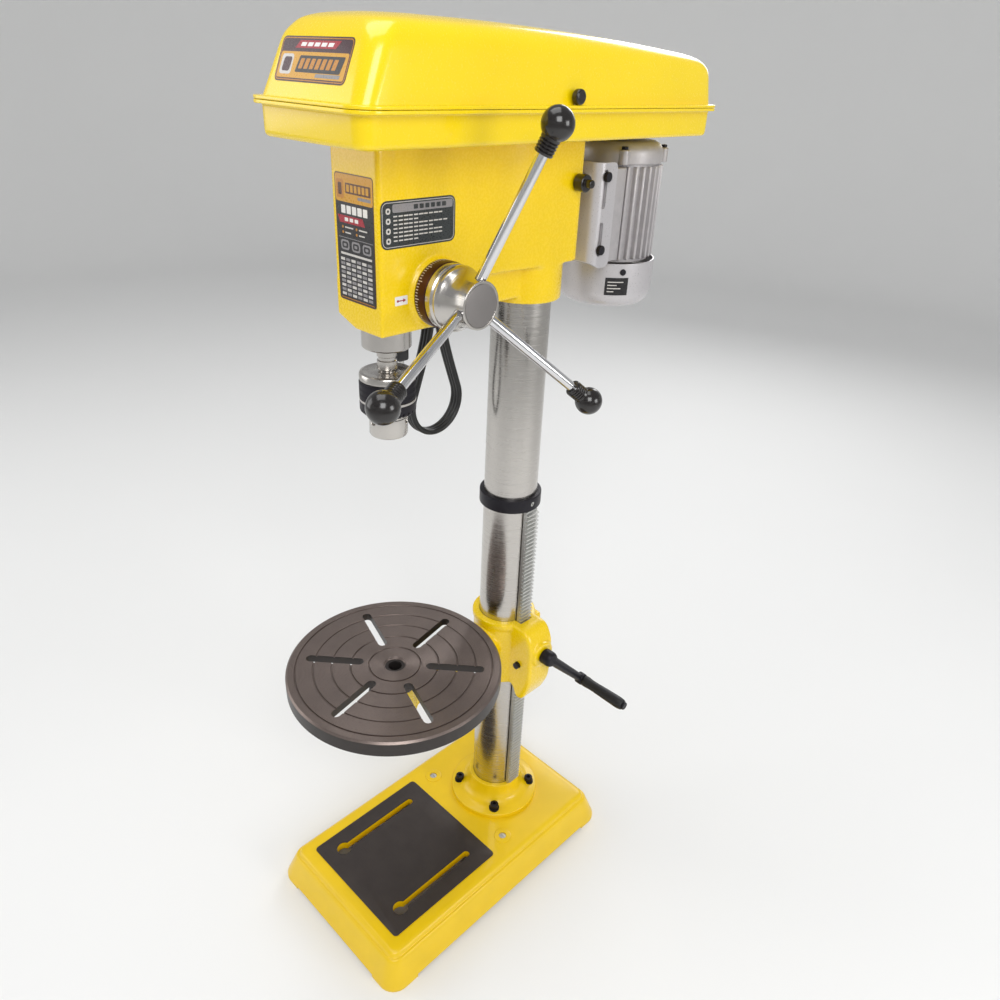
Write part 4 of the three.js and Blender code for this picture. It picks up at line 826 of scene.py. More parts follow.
class DRILLPRESS_OT_table(bpy.types.Operator):
    """Adds the bracket with its crank and lock, the tilting arm and the round table"""

    bl_idname = "drill_press.table"
    bl_label = "Table"

    def execute(self, context):
        self.bracket()
        self.locks()
        self.crank()
        self.arm()
        self.table()
        return {"FINISHED"}

    def bracket(self):
        low, high, outer = BRACKET
        gear_x, gear_z = LIFT_GEAR
        housing = rounded([(30, low), (46, low), (54, 304), (66, 304), (80, 336), (80, 408), (66, high),
                           (30, high)], [0, 6, 6, 8, 14, 14, 10, 0], 5)
        collar = rounded([(20, low), (outer - 1, low), (outer - 1, low + 9), (outer - 2.5, low + 12),
                          (outer - 2.5, high - 12), (outer, high - 9), (outer, high), (20, high)], 2, 4)
        piece("bracket_casting", "table_bracket", casting_enamel(), [
            turned([(0, low), *collar, (0, high)], sides=128),
            prism("y", housing, (-24, 24), 4),
            bar("x", 20, (60, 84.6), (0, CRANK_Z)),
            bar("y", 30, (-61.6, -20), (0, TILT_Z)),
            prism("z", round_rect(-20, 20, 30, 68, 7), (358, 398), 3)],
            cast=cast(), cuts=[
            bar("z", COLUMN_R + 0.4, (200, 500), sides=128),
            box((20, 46.6), (-11.6, 11.6), (200, 500)),
            bar("y", 15, (-10, 10), (gear_x, gear_z)),
            bar("y", 5.5, (-40, 40), (gear_x, gear_z)),
            bar("x", 8.5, (30, 73), (0, CRANK_Z)),
            bar("x", 6.6, (70, 90), (0, CRANK_Z)),
            box((-1.5, 1.5), (30, 80), (200, 500)),
            bar("x", 5.5, (-40, 40), (LOCK_Y, LOCK_Z)),
            bar("y", 8.4, (-70, -30), (0, TILT_Z))],
            nodes=["table_bracket"])
        piece("worm_shaft_turned", "crank", plain_steel(), [
            bar("x", 5.4, (48, 71), (0, CRANK_Z)), bar("x", 6, (70.5, 100), (0, CRANK_Z)),
            *[turned([(0, x), (5, x), (7.4, x + 1.4), (7.4, x + 3), (5, x + 4.4), (0, x + 4.4)],
                     (0, 0, CRANK_Z), "x", 48) for x in (51, 57.3, 63.6)]],
            nodes=["worm_shaft"])

    def locks(self):
        hub = (-31, LOCK_Y, LOCK_Z)
        end = (-42, LOCK_Y + 52, LOCK_Z - 48)
        piece("column_lock_lever", "column_lock", black_oxide(), [
            bar("x", 5, (-34, 30), (LOCK_Y, LOCK_Z)), hexagon("x", 9, (-42, -20.4), (LOCK_Y, LOCK_Z), 1.2),
            rod(hub, end, 4.5, 3.8)], nodes=["column_lock"])
        piece("column_lock_ball", "column_lock", black_gloss(), [ball(end, 10)])
        end = (-62, SPINDLE_Y, 336)
        piece("table_lock_lever", "table_lock", black_oxide(), [
            bar("x", 4, (-48, -14.5), (SPINDLE_Y, TABLE_LOCK_Z)),
            turned(stub(8, (-52, -38.4), (1.5, 1.5), 4),
                   (0, SPINDLE_Y, TABLE_LOCK_Z), "x", 48),
            rod((-46, SPINDLE_Y, TABLE_LOCK_Z), end, 4, 3.4)], nodes=["table_lock"])
        piece("table_lock_ball", "table_lock", black_gloss(), [ball(end, 8)])

    def crank(self):
        x, y, z = CRANK_END
        hub = rounded([(0, 85.4), (11.5, 85.4), (11.5, 98), (9.5, 103), (0, 103)], [0, 1.2, 2, 2, 0], 4)
        piece("crank_arm_bar", "crank", black_oxide(), [
            turned(hub, (0, 0, CRANK_Z), "x", 64),
            rod((95, 0, CRANK_Z), (x - 5, y, z), 7.5, 6),
            turned(stub(9, (x - 11, x + 1), (2, 2), 4),
                   (0, y, z), "x", 64),
            bar("x", 4, (x - 2, x + 79), (y, z)),
            turned(stub(6, (x + 76, x + 79), (0.6, 1.2), 3),
                   (0, y, z), "x", 48)],
            nodes=["crank_arm"])
        grip = rounded([(4.2, x + 1.4), (8, x + 1.4), (8.6, x + 5.4), (7.4, x + 17), (8.4, x + 46),
                        (8.8, x + 69), (7.4, x + 75.6), (4.2, x + 75.6)], [0, 1, 4, 9, 14, 5, 2, 0], 6)
        piece("crank_grip_moulded", "crank_grip", black_matt(),
              [hollow(grip, (0, y, z), "x", 64)], nodes=["crank_grip"])

    def arm(self):
        beam = [(-27, -66), (27, -66), (25, SPINDLE_Y), (-25, SPINDLE_Y)]
        piece("arm_casting", "table_arm", casting_enamel(), [
            bar("y", 30, (-81.6, -62.8), (0, TILT_Z)),
            prism("z", beam, (372.4, 408.6)),
            bar("z", 30, (366.4, 412.6), (0, SPINDLE_Y)),
            box((-37.6, -20), (SPINDLE_Y - 10.6, SPINDLE_Y + 10.6), (379.4, 400.6))],
            cast=cast(), cuts=[
            bar("z", 14.6, (300, 500), (0, SPINDLE_Y)),
            bar("y", 8.4, (-90, -50), (0, TILT_Z)),
            bar("y", 15, (-140, -82), (0, TILT_Z)),
            box((-15, 15), (-140, -82.2), (300, TILT_Z)),
            bar("x", 4.5, (-50, -10), (SPINDLE_Y, TABLE_LOCK_Z))],
            nodes=["table_arm"])
        piece("tilt_bolt_head", "table_arm", black_oxide(), [
            bar("y", 8, (-86, -40), (0, TILT_Z)), hexagon("y", 13, (-94, -83.6), (0, TILT_Z), 1.2),
            bar("y", 14.4, (-84.4, -82.4), (0, TILT_Z))], nodes=["tilt_bolt"])

    def table(self):
        """The table's face has five turned grooves round a chamfered centre hole."""
        rim = TABLE_TOP - 23
        face = []
        for r in (130, 107, 83, 58, 34):
            face += [(r + 1.3, TABLE_TOP), (r + 0.8, TABLE_TOP - 1.6), (r - 0.8, TABLE_TOP - 1.6),
                     (r - 1.3, TABLE_TOP)]
        profile = [(9, 358), (14, 358), (14, 413.4), (32, 413.4), (34, 429), (133, 429), (134, rim),
                   (138.5, rim), (TABLE_R, rim + 2.2), (TABLE_R, TABLE_TOP - 2.4), (139.6, TABLE_TOP), *face,
                   (15, TABLE_TOP), (13, TABLE_TOP - 3), (9, TABLE_TOP - 3), (9, 358)]
        # Cast iron faced on a lathe: brown-grey, with fine rings that catch the light.
        turned_iron = surface("faced_cast_iron", "80736D", 0.33, metallic=0.75, shade=0.12, patch=26,
                              grain=0.8, depth=0.01, scatter=0.08, rings=("Z", 0, SPINDLE_Y, 1.6, 0.075))
        slots = [prism("z", slot((48 * c, SPINDLE_Y + 48 * s), (113 * c, SPINDLE_Y + 113 * s), 6.2),
                       (408, 445)) for c, s in at_corners(1, 6, 42)]
        obj = piece("table_plate", "table", turned_iron, [turned(profile, (0, SPINDLE_Y, 0), "z", 180)],
                    cuts=slots, nodes=["work_table"], crease=25)
        # The rim and underside keep a darker skin, with no turning marks.
        obj.data.materials.append(surface("oiled_cast_iron", "3D3836", 0.4, metallic=0.5, shade=0.12,
                                          patch=20, grain=1.0, depth=0.03))
        for face in obj.data.polygons:
            if face.center.z < (TABLE_TOP - 2) * MM:
                face.material_index = 1


# ---- head ----------------------------------------------------------------------------------------

class DRILLPRESS_OT_head(bpy.types.Operator):
    """Adds the head casting, the quill, the spindle and the chuck"""

    bl_idname = "drill_press.head"
    bl_label = "Head and spindle"

    def execute(self, context):
        self.casting()
        self.spindle()
        self.chuck()
        return {"FINISHED"}

    def casting(self):
        half, front, low, ledge = HEAD["half"], HEAD["front"], HEAD["bottom"], HEAD["ledge"]
        top, back, rear = HEAD["top"], HEAD["back"], HEAD["rear"]
        outline = [(half, front), (half, -80), (rear, -30), (rear, back), (-rear, back), (-rear, -30),
                   (-half, -80), (-half, front)]
        upper = rounded(outline, [4, 30, 30, 10, 10, 30, 30, 4], 6, closed=True)
        under = [(-half, low + 10), (-8, low), (half, low), (half, ledge + 4), (-half, ledge + 4)]
        nose = ([Vector((u, y, v)) for y in (front, -120) for u, v in under],
                [(4, 3, 2, 1, 0), (5, 6, 7, 8, 9),
                 *[(k, (k + 1) % 5, (k + 1) % 5 + 5, k + 5) for k in range(5)]])
        piece("head_casting_painted", "stand", casting_enamel(), [
            prism("z", upper, (ledge, top)), nose,
            box((-30, 30), (-121, -20), (low + 8, ledge + 1)),
            bar("z", 47, (low, ledge + 1), sides=128),
            bar("x", 35, (half - 5, half + 4), (FEED_Y, FEED_Z), 96),
            bar("x", 31, (-half - 2, -half + 5), (FEED_Y, FEED_Z), 96)],
            cast=cast(), cuts=[
            bar("z", 26.6, (low - 2, 1040), (0, SPINDLE_Y), 96),
            bar("z", 17.4, (1039, top + 2), (0, SPINDLE_Y)),
            bar("z", COLUMN_R + 0.2, (low - 2, COLUMN_TOP + 3), sides=128),
            box((-29, 29), (-150, -54), (FEED_Z + 24, top + 2)),
            bar("x", 16.9, (-14, half + 6), (FEED_Y, FEED_Z)),
            bar("x", 10.5, (-half - 6, 0), (FEED_Y, FEED_Z)),
            bar("z", 6.5, (1050, top + 2), (30, 0)),
            bar("x", 4.5, (28, rear + 2), (32, SLIDE_BAR[1])),
            *[bar("y", 8.2, (-28, back + 2), (side * SLIDE_BAR[0], SLIDE_BAR[1])) for side in (-1, 1)]],
            nodes=["head_casting"])

    def spindle(self):
        low, high = (c.z for c in corners("quill"))
        steel = turned_steel("turned_quill_steel", "Z", 0, SPINDLE_Y)
        bore = [(11, low + 16.3), (19.8, low + 16.3), (19.8, low), (25.2, low), (26.5, low + 1.4),
                (26.5, high), (11, high), (11, low + 16.3)]
        pitch = math.tau
        teeth = []
        for k in range(18):
            z = FEED_Z + (k - 2) * pitch
            teeth.append(prism("x", [(-183.2, z - 2.9), (-170, z - 2.9), (-170, z + 2.9), (-183.2, z + 2.9),
                                     (-186.6, z + 1.2), (-186.6, z - 1.2)], (-13, 13)))
        piece("quill_ground", "quill", steel, [turned(bore, (0, SPINDLE_Y, 0), "z", 128)],
              cuts=[box((-13, 13), (-182.4, -160), (FEED_Z - 14, high + 2)), *teeth], nodes=["quill"])
        outer = rounded([(10.3, low + 2), (19.5, low + 2), (19.5, low + 16), (10.3, low + 16)],
                        [0, 1, 1, 0], 3)
        piece("quill_bearing_race", "quill", plain_steel(), [
            hollow(outer, (0, SPINDLE_Y, 0), "z", 96)], nodes=["quill_bearing"])
        chuck_top = corners("chuck_body")[1].z
        shaft = [(0, chuck_top - 12), (7, chuck_top - 12), (8, chuck_top + 1), (9.6, chuck_top + 1.6),
                 (10.8, chuck_top + 3), (10.8, chuck_top + 12), (9.4, chuck_top + 13), (9.4, chuck_top + 16),
                 (10.8, chuck_top + 17), (10.8, chuck_top + 22), (10, chuck_top + 23), (10, 1050), (10, 1052),
                 (10, 1148.5), (8.6, 1150), (0, 1150)]
        piece("spindle_shaft", "spindle", steel, [
            turned(shaft, (0, SPINDLE_Y, 0), "z", 96,
                   lambda turn, along: -1.1 * max(0, math.cos(6 * turn)) ** 6 if along > 1051 else 0)],
            nodes=["spindle"])

    def chuck(self):
        """A key chuck: bright nose and cap, and a blackened sleeve with a knurl and a ring gear."""
        (_, _, low), (_, _, top) = corners("chuck_body")
        sleeve = corners("chuck_sleeve")[0].z
        bright = turned_steel("turned_chuck_steel", "Z", 0, SPINDLE_Y, 0.7)
        body = [(0, low + 30), (9.5, low + 30), (9.5, low + 2), (11, low + 0.6), (12, low), (19, low),
                (20.6, low + 0.8), (21.4, low + 2.4), (21.4, sleeve - 6), (20.8, sleeve - 5.4),
                (20.8, sleeve - 4.6), (21.4, sleeve - 4), (21.4, sleeve - 1), (27.2, sleeve + 5),
                (27.2, top - 9), (29.8, top - 9), (30.6, top - 8), (30.6, top - 3), (29.6, top - 1),
                (27, top), (24, top - 0.6), (16, top - 1.6), (13, top - 0.4), (11, top), (0, top)]
        jaws, keys = [], []
        for k in range(3):
            turn = math.radians(90 + 120 * k)
            lean = Vector((0.2588 * math.cos(turn), 0.2588 * math.sin(turn), 0.9659))
            tip = Vector((4.4 * math.cos(turn), SPINDLE_Y + 4.4 * math.sin(turn), low - 3))
            jaws.append(turned([(0, -20), (4.9, -20), (4.9, 66), (0, 66)], tip, lean, 48))
            side = Vector((math.cos(turn + math.pi / 3), math.sin(turn + math.pi / 3), 0))
            keys.append(turned([(0, 13), (3.6, 13), (3.6, 20.4), (4.6, 22), (4.6, 26), (0, 26)],
                               (0, SPINDLE_Y, sleeve - 9), side, 40))
        piece("chuck_body_turned", "spindle", bright, [turned(body, (0, SPINDLE_Y, 0), "z", 128)],
              cuts=[bar("z", 8.3, (top - 13, top + 1), (0, SPINDLE_Y)), *jaws, *keys],
              nodes=["chuck_body"])
        inner, outer = 27.9, 31.0
        count = round(math.tau * outer / settings().knurl_pitch)

        def knurl(turn, along):
            """Crossed spiral grooves, which leave small diamonds."""
            lift = along * count / outer
            return -0.55 * (1 - min(abs(math.sin((count * turn + lift) / 2)),
                                    abs(math.sin((count * turn - lift) / 2)))) ** 2
        levels = [sleeve + 17.4 + 0.55 * k for k in range(int((top - 10.4 - sleeve - 17.4) / 0.55))]
        knurled = [(inner, sleeve + 16.4), (outer - 0.8, sleeve + 16.4), *[(outer, z) for z in levels],
                   (outer - 0.8, top - 9.6), (inner, top - 9.6), (inner, sleeve + 16.4)]
        place = (0, SPINDLE_Y, 0)
        piece("chuck_knurl", "chuck_sleeve", black_oxide(), [
            turned(knurled, place, "z", count * 4,
                   lambda turn, along: (knurl(turn, along)
                                        if levels[0] - 0.1 < along < levels[-1] + 0.1 else 0))],
            nodes=["chuck_sleeve"], crease=60)
        ring = rounded([(inner, sleeve + 13.4), (outer, sleeve + 13.4), (outer, sleeve + 16.2),
                        (inner, sleeve + 16.2)], [0, 0.5, 0.5, 0], 3)
        piece("chuck_bright_ring", "chuck_sleeve", bright, [hollow(ring, place, "z", 128)])
        teeth = 26
        gear = [(inner, sleeve + 4.2), (28.4, sleeve), (30.8, sleeve + 2.6), (outer, sleeve + 4.5),
                (outer, sleeve + 5.4), (outer, sleeve + 12.6), (outer - 0.6, sleeve + 13.2),
                (inner, sleeve + 13.2), (inner, sleeve + 4.2)]
        piece("chuck_ring_gear", "chuck_sleeve", black_oxide(), [
            turned(gear, place, "z", teeth * 8, lambda turn, along: -1.9 * (math.cos(teeth * turn) < -0.1)
                   if sleeve - 0.1 < along < sleeve + 5 else 0)])


# ---- feed ----------------------------------------------------------------------------------------

FEED_INNER, FEED_OUTER = (91, 14), (152, 169)


def feed_point(k, share):
    """A point along a feed handle, from its hub at 0 to its ball's middle at 1."""
    turn = math.radians(77 + 120 * k)
    x = FEED_INNER[0] + (FEED_OUTER[0] - FEED_INNER[0]) * share
    reach = FEED_INNER[1] + (FEED_OUTER[1] - FEED_INNER[1]) * share
    return Vector((x, FEED_Y + reach * math.cos(turn), FEED_Z + reach * math.sin(turn)))


class DRILLPRESS_OT_feed(bpy.types.Operator):
    """Adds the depth ring, the feed hub with its three handles, and the spring cap"""

    bl_idname = "drill_press.feed"
    bl_label = "Feed"

    def execute(self, context):
        steel = turned_steel("turned_feed_steel", "X", FEED_Y, FEED_Z, 1.1)
        origin = (0, FEED_Y, FEED_Z)
        ring = rounded([(17, 41.4), (34, 41.4), (34, 56), (17, 56)], [0, 1, 0.8, 0], 4)
        # The scale ring is bright steel; its brown colour is a painted reflection of the yellow casting and
        # dark surroundings, and its marks are left bright.
        painted_reflection_look = surface("etched_scale_ring", "4E2C20", 0.36, metallic=0.7, shade=0.12, patch=9, grain=0.7,
                         depth=0.008)
        piece("depth_ring_turned", "depth_ring", painted_reflection_look, [hollow(ring, origin, "x", 128)],
              nodes=["depth_ring"])
        marks = []
        for k in range(72):
            turn = math.radians(5 * k)
            u, v = math.cos(turn), math.sin(turn)
            reach = 5.4 if k % 6 == 0 else 3.2
            across = 0.42
            ends = [(FEED_Y + 33.4 * u - across * v, FEED_Z + 33.4 * v + across * u),
                    (FEED_Y + 34.12 * u - across * v, FEED_Z + 34.12 * v + across * u),
                    (FEED_Y + 34.12 * u + across * v, FEED_Z + 34.12 * v - across * u),
                    (FEED_Y + 33.4 * u + across * v, FEED_Z + 33.4 * v - across * u)]
            marks.append(prism("x", ends, (43, 43 + reach)))
        points, faces = [], []
        for mark in marks:
            faces += [tuple(i + len(points) for i in face) for face in mark[1]]
            points += mark[0]
        piece("depth_scale_marks", "depth_ring", surface("scale_marks", "D9CDBF", 0.45, shade=0.06, patch=5),
              [(points, faces)])
        hub = rounded([(10.3, 56.4), (33.4, 56.4), (33.4, 64), (31.4, 65.5), (31.4, 67), (33.4, 68.5),
                       (33.4, 72), (27.5, 80), (24.5, 90), (24.2, HUB_FACE), (21.8, HUB_FACE),
                       (21.6, HUB_FACE - 0.7), (0, HUB_FACE - 0.7), (0, 93), (10.3, 93)],
                      [0, 0.8, 0.6, 0.4, 0.4, 0.6, 3, 5, 6, 0.8, 0.3, 0.3, 0, 0, 0], 4)
        sockets = [turned([(0, 0), (5.8, 0), (5.8, 160), (0, 160)], feed_point(k, 0),
                          feed_point(k, 1) - feed_point(k, 0), 48) for k in range(3)]
        piece("feed_hub_turned", "feed", steel, [hollow(hub, origin, "x", 128)], cuts=sockets,
              nodes=["feed_hub"])
        # The flat end disc is bead-blasted, so it is matt beside the turned hub.
        matt = surface("blasted_steel", "8E8A88", 0.5, metallic=0.9, shade=0.05, patch=12, grain=0.5,
                       depth=0.02)
        disc = stub(21.2, (HUB_FACE - 1, HUB_FACE - 0.1), (0, 0.4), 3)
        piece("feed_hub_disc", "feed", matt, [turned(disc, origin, "x", 96)])
        for k in range(3):
            self.handle(k)
        piece("feed_pinion_shaft", "feed", plain_steel(), [shape_of(copy_of("feed_pinion"))],
              nodes=["feed_pinion"])
        cap = rounded([(0, -59), (12, -59), (14, -60), (30.5, -60), (30.5, -39.4), (28.5, -39.4),
                       (28.5, -57.5), (0, -57.5)], [0, 0.6, 0.6, 2.5, 0.4, 0.3, 0.5, 0], 4)
        piece("spring_cap_pressed", "stand", black_oxide(), [turned(cap, origin, "x", 128)],
              nodes=["spring_cap"])
        return {"FINISHED"}

    def handle(self, k):
        """A chromed rod with a ball on a ribbed collar."""
        start, end = feed_point(k, 0), feed_point(k, 1)
        length = (end - start).length
        chrome = chrome_plate()
        profile = stub(5.5, (length * 0.004, length * 0.985), (0.4, 0.4), 3)
        piece(f"feed_handle_{k + 1}", "feed", chrome, [turned(profile, start, end - start, 64)],
              nodes=[f"feed_rod_{k + 1}"])
        foot, neck = length * 0.835, length - math.sqrt(KNOB_R ** 2 - 9.4 ** 2)
        line = [(5.8, foot), (8.6, foot), (9.2, foot + 1)]
        for rib in range(4):
            along = foot + 2.4 + 3 * rib
            line += [(9.2, along), (8.3, along + 0.8), (9.3, along + 1.6)]
        line += [(9.4, neck)]
        middle = math.degrees(math.acos((length - neck) / KNOB_R))
        line += [(KNOB_R * math.sin(math.radians(a)), length - KNOB_R * math.cos(math.radians(a)))
                 for a in [middle + (180 - middle) * i / 24 for i in range(1, 25)]]
        line += [(0, length * 0.988), (5.8, length * 0.988), (5.8, foot)]
        piece(f"feed_ball_{k + 1}", "feed", black_gloss(), [turned(line, start, end - start, 64)],
              nodes=[f"feed_knob_{k + 1}"], crease=40)


def copy_of(node):
    """A working piece's mesh as a new object."""
    obj = bpy.data.objects.new(f"copy_of_{node}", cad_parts[node].data.copy())
    bpy.context.scene.collection.objects.link(obj)
    return obj


# ---- belt guard ----------------------------------------------------------------------------------

def guard_outline(by, along=1):
    """The guard's outline drawn in by a distance, its long sides in as many steps as asked."""
    half, corner = GUARD["half"] - by, max(2, GUARD["corner"] - by)
    return round_rect(-half, half, GUARD["front"] + by, GUARD["back"] - by, corner, 10, along)


def crown_height(y):
    """How high the lid's top is at a distance along it: level at first, then falling to the back."""
    share = min(1, max(0, y - CROWN_FALL["start"]) / CROWN_FALL["length"])
    return CROWN - CROWN_FALL["drop"] * share ** CROWN_FALL["power"]


def lid_rings(shrink):
    """The lid's skin as rings, from its seam up over its soft shoulder to its middle line."""
    shoulder = rounded([(0.3, 3.2), (6, RAKE_SHARE * LID_RISE), (30, LID_RISE), (79, LID_RISE)],
                       [0, 20, 26, 0], 8)
    rings = []
    for side, rise in shoulder:
        h = rise / LID_RISE
        front = RAKE_DEPTH * min(1, h / RAKE_SHARE) + max(0, side - 6) * 0.8
        back = 0.5 + 11 * h ** 6 + max(0, side - 6) * 0.62
        half = max(0.6, GUARD["half"] - shrink - side)
        corner = min(half - 0.1, GUARD["corner"] + 6 * h + max(0, side - 6) * 0.3)
        outline = round_rect(-half, half, GUARD["front"] + shrink * 1.1 + front,
                             GUARD["back"] - shrink - back, max(0.4, corner - shrink), 10, 24)
        rings.append([(u, v, SEAM + 0.2 + (crown_height(v) - shrink - SEAM - 0.2) * h) for u, v in outline])
    return rings


class DRILLPRESS_OT_guard(bpy.types.Operator):
    """Adds the belt guard's tray, its hinged lid, the lid's knob and the hinge pin"""

    bl_idname = "drill_press.guard"
    bl_label = "Belt guard"

    def execute(self, context):
        enamel = cover_enamel()
        wall, rim = GUARD["wall"], GUARD["rim"]
        ears = {"tray": (0.0, 14.0), "lid": (14.3, 28.3)}
        tray = rounded([(30, TRAY_BOTTOM), (0, TRAY_BOTTOM), (0, SEAM - 3.4), (-rim, SEAM - 3.4),
                        (-rim, SEAM - 0.2), (wall, SEAM - 0.2), (wall, TRAY_BOTTOM + wall),
                        (30, TRAY_BOTTOM + wall)], [0, 6, 2.5, 0.8, 0.8, 0.8, 3, 0], 4)
        motor_slot = prism("z", slot((0, MOTOR_Y - 14), (0, MOTOR_Y + 2), 27), (TRAY_BOTTOM - 4, SEAM - 8))
        pin_bore = bar("y", HINGE_R + 0.2, (-250, 200), (HINGE_X, SEAM), 32)
        piece("guard_tray", "stand", enamel, [skin(tray, guard_outline)] + self.ears(ears["tray"], -1),
              cuts=[motor_slot, bar("z", 30, (TRAY_BOTTOM - 4, SEAM), (0, SPINDLE_Y)),
                    bar("z", 8, (TRAY_BOTTOM - 4, SEAM), (30, 0)), pin_bore,
                    *self.ear_spaces(ears["lid"])], nodes=["belt_tray"])
        edge = [[(u, v, z) for u, v in guard_outline(by, 24)] for by, z in rounded(
            [(wall, SEAM + 0.2), (-rim, SEAM + 0.2), (-rim, SEAM + 3.2), (-1, SEAM + 3.2)],
            [0.8, 0.8, 0.8, 0], 3)]
        outer = lid_rings(0)
        inner = lid_rings(wall)
        lid = lofted([*reversed(inner), *edge, *outer])
        piece("guard_lid", "lid", enamel, [lid] + self.ears(ears["lid"], 1),
              cuts=[pin_bore, bar("x", 3.2, (60, 100), (-25, 1117.3), 32), *self.ear_spaces(ears["tray"])],
              nodes=["belt_lid"], crease=40)
        knob = rounded([(0, 74.5), (3, 74.5), (3, 80.6), (6, 80.8), (7.4, 83), (7.4, 88), (6, 89.6),
                        (0, 89.6)], [0, 0.4, 0, 0.4, 1, 1.2, 1.5, 0], 4)
        piece("guard_lid_knob", "lid", black_gloss(), [turned(knob, (0, -25, 1117.3), "x", 64)],
              nodes=["lid_knob"])
        pin = rounded([(0, -195), (2.4, -195), (2.4, -193), (2, -193), (2, 141), (0, 141)],
                      [0, 0.5, 0.3, 0, 0.5, 0], 3)
        piece("guard_hinge_pin", "stand", zinc_plate(), [turned(pin, (HINGE_X, 0, SEAM), "y", 32)],
              nodes=["hinge_pin"])
        return {"FINISHED"}

    def ears(self, span, side):
        """Rolled ears that carry the hinge pin, joined to the rim's edge."""
        made = []
        for y in (-190, 110):
            low, high = y + span[0], y + span[1]
            z = (SEAM + 0.2, SEAM + 3.2) if side > 0 else (SEAM - 3.2, SEAM - 0.2)
            made.append(bar("y", 4.2, (low, high), (HINGE_X, SEAM), 48))
            made.append(box((HINGE_X, -GUARD["half"] - 4), (low, high), z))
        return made

    def ear_spaces(self, span):
        return [bar("y", 4.7, (y + span[0] - 0.3, y + span[1] + 0.15), (HINGE_X, SEAM), 48)
                for y in (-190, 110)]


# ---- drive ---------------------------------------------------------------------------------------

STEPS = {"spindle": (32, 41, 50, 59), "idler": (58, 48, 38, 28), "motor": (22, 31, 40, 49)}


def step_middle(k):
    return PULLEY_BOTTOM + PULLEY_STEP * (k + 0.5)


class DRILLPRESS_OT_drive(bpy.types.Operator):
    """Adds the stepped pulleys, the belts, the idler and the return spring"""

    bl_idname = "drill_press.drive"
    bl_label = "Drive"

    def execute(self, context):
        self.pulley("spindle", 10.6, SPINDLE_Y, 1052, 17, "spindle_pulley")
        self.pulley("idler", 6.3, IDLER_Y, PULLEY_BOTTOM - 1, 12, "idler_pulley")
        self.pulley("motor", 8.4, MOTOR_Y, PULLEY_BOTTOM - 4, 12, "rotor")
        first, second = step_middle(1) * MM, step_middle(2) * MM
        self.belt("front_belt_jacketed", "front_belt", (SPINDLE_Y, STEPS["spindle"][1]),
                  (IDLER_Y, STEPS["idler"][1]), 1, None,
                  ("stand", "idler_arm", (0, SPINDLE_Y * MM, first), (0, IDLER_Y * MM, first)))
        # The rear belt is made as two halves that meet midway.
        ends = ((IDLER_Y, STEPS["idler"][2]), (MOTOR_Y, STEPS["motor"][2]))
        middle = (IDLER_Y + MOTOR_Y) / 2
        self.belt("rear_belt_front_half", "rear_belt", *ends, 2, (-120, middle),
                  ("idler_arm", "stand", (0, (IDLER_Y + 35) * MM, second), (0, middle * MM, second)))
        self.belt("rear_belt_rear_half", "rear_belt", *ends, 2, (middle, 260),
                  ("stand", "motor", (0, middle * MM, second), (0, (MOTOR_Y - 35) * MM, second)))
        link = slot((30, 0), (0, IDLER_Y), 11, 16)
        piece("idler_arm_plated", "idler_arm", zinc_plate(), [
            prism("z", link, (1078.5, 1084), 0.8), bar("z", 6, (1053, 1080), (30, 0)),
            bar("z", 6, (1082, 1140), (0, IDLER_Y))], nodes=["idler_arm"])
        for name, node, body, look, finish in (
                ("return_spring_strip", "return_spring", "stand", plain_steel(), "ground_steel"),
                ("lift_gear_cut", "lift_gear", "lift_gear", black_oxide(), "ground_steel"),
                ("rack_cut", "rack", "rack", zinc_plate(), "zinc_plate")):
            piece(name, body, look, [shape_of(copy_of(node))], nodes=[node])
        for k in (1, 2, 3):
            piece(f"jaw_ground_{k}", f"chuck_jaw_{k}", plain_steel(), [shape_of(copy_of(f"chuck_jaw_{k}"))],
                  nodes=[f"chuck_jaw_{k}"], crease=50)
        return {"FINISHED"}

    def pulley(self, name, bore, y, foot, hub, body):
        profile = [(bore, foot), (hub, foot), (hub, PULLEY_BOTTOM)]
        for k, r in enumerate(STEPS[name]):
            middle = step_middle(k)
            profile += [(r - 0.6, middle - 6), (r, middle - 5.4), (r - GROOVE, middle - 3.9),
                        (r - GROOVE, middle + 3.9), (r, middle + 5.4), (r - 0.6, middle + 6)]
        profile += [(bore, PULLEY_BOTTOM + 52), (bore, foot)]
        piece(f"{name}_cone", body, cast_aluminium(), [turned(profile, (0, y, 0), "z", 96)],
              nodes=[f"{name}_pulley"], crease=25)

    def belt(self, name, node, front, rear, k, part, blend):
        """A V-belt: a wedge section round two pulleys, or the part of it between two depths."""
        (front_y, front_r), (rear_y, rear_r) = front, rear
        lean = math.degrees(math.acos((front_r - rear_r) / (rear_y - front_y)))
        section = [(-0.7, -3.4), (-0.7, 3.4), (-1.6, 3.5), (-7.2, 2.3), (-7.2, -2.3), (-1.6, -3.5)]
        rings = []
        for offset, rise in section:
            line = arc((0, front_y), front_r + offset, 90 + lean, 450 - lean, 40)
            far = arc((0, rear_y), rear_r + offset, 90 - lean, 90 + lean, 32)
            line += [*straight(line[-1], far[0], 16), *far]
            line += straight(line[-1], line[0], 16)
            rings.append([(u, v, step_middle(k) + rise) for u, v in line])
        count = len(rings[0])
        points = [Vector(p) for ring in rings for p in ring]
        faces = []
        for a in range(len(rings)):
            b = (a + 1) % len(rings)
            faces += [(a * count + i, a * count + (i + 1) % count, b * count + (i + 1) % count, b * count + i)
                      for i in range(count)]
        keep = part and box((-90, 90), part, (1080, 1160))
        piece(name, None, belt_rubber(), [(points, faces)], keep=keep, nodes=[node],
              blend=blend)


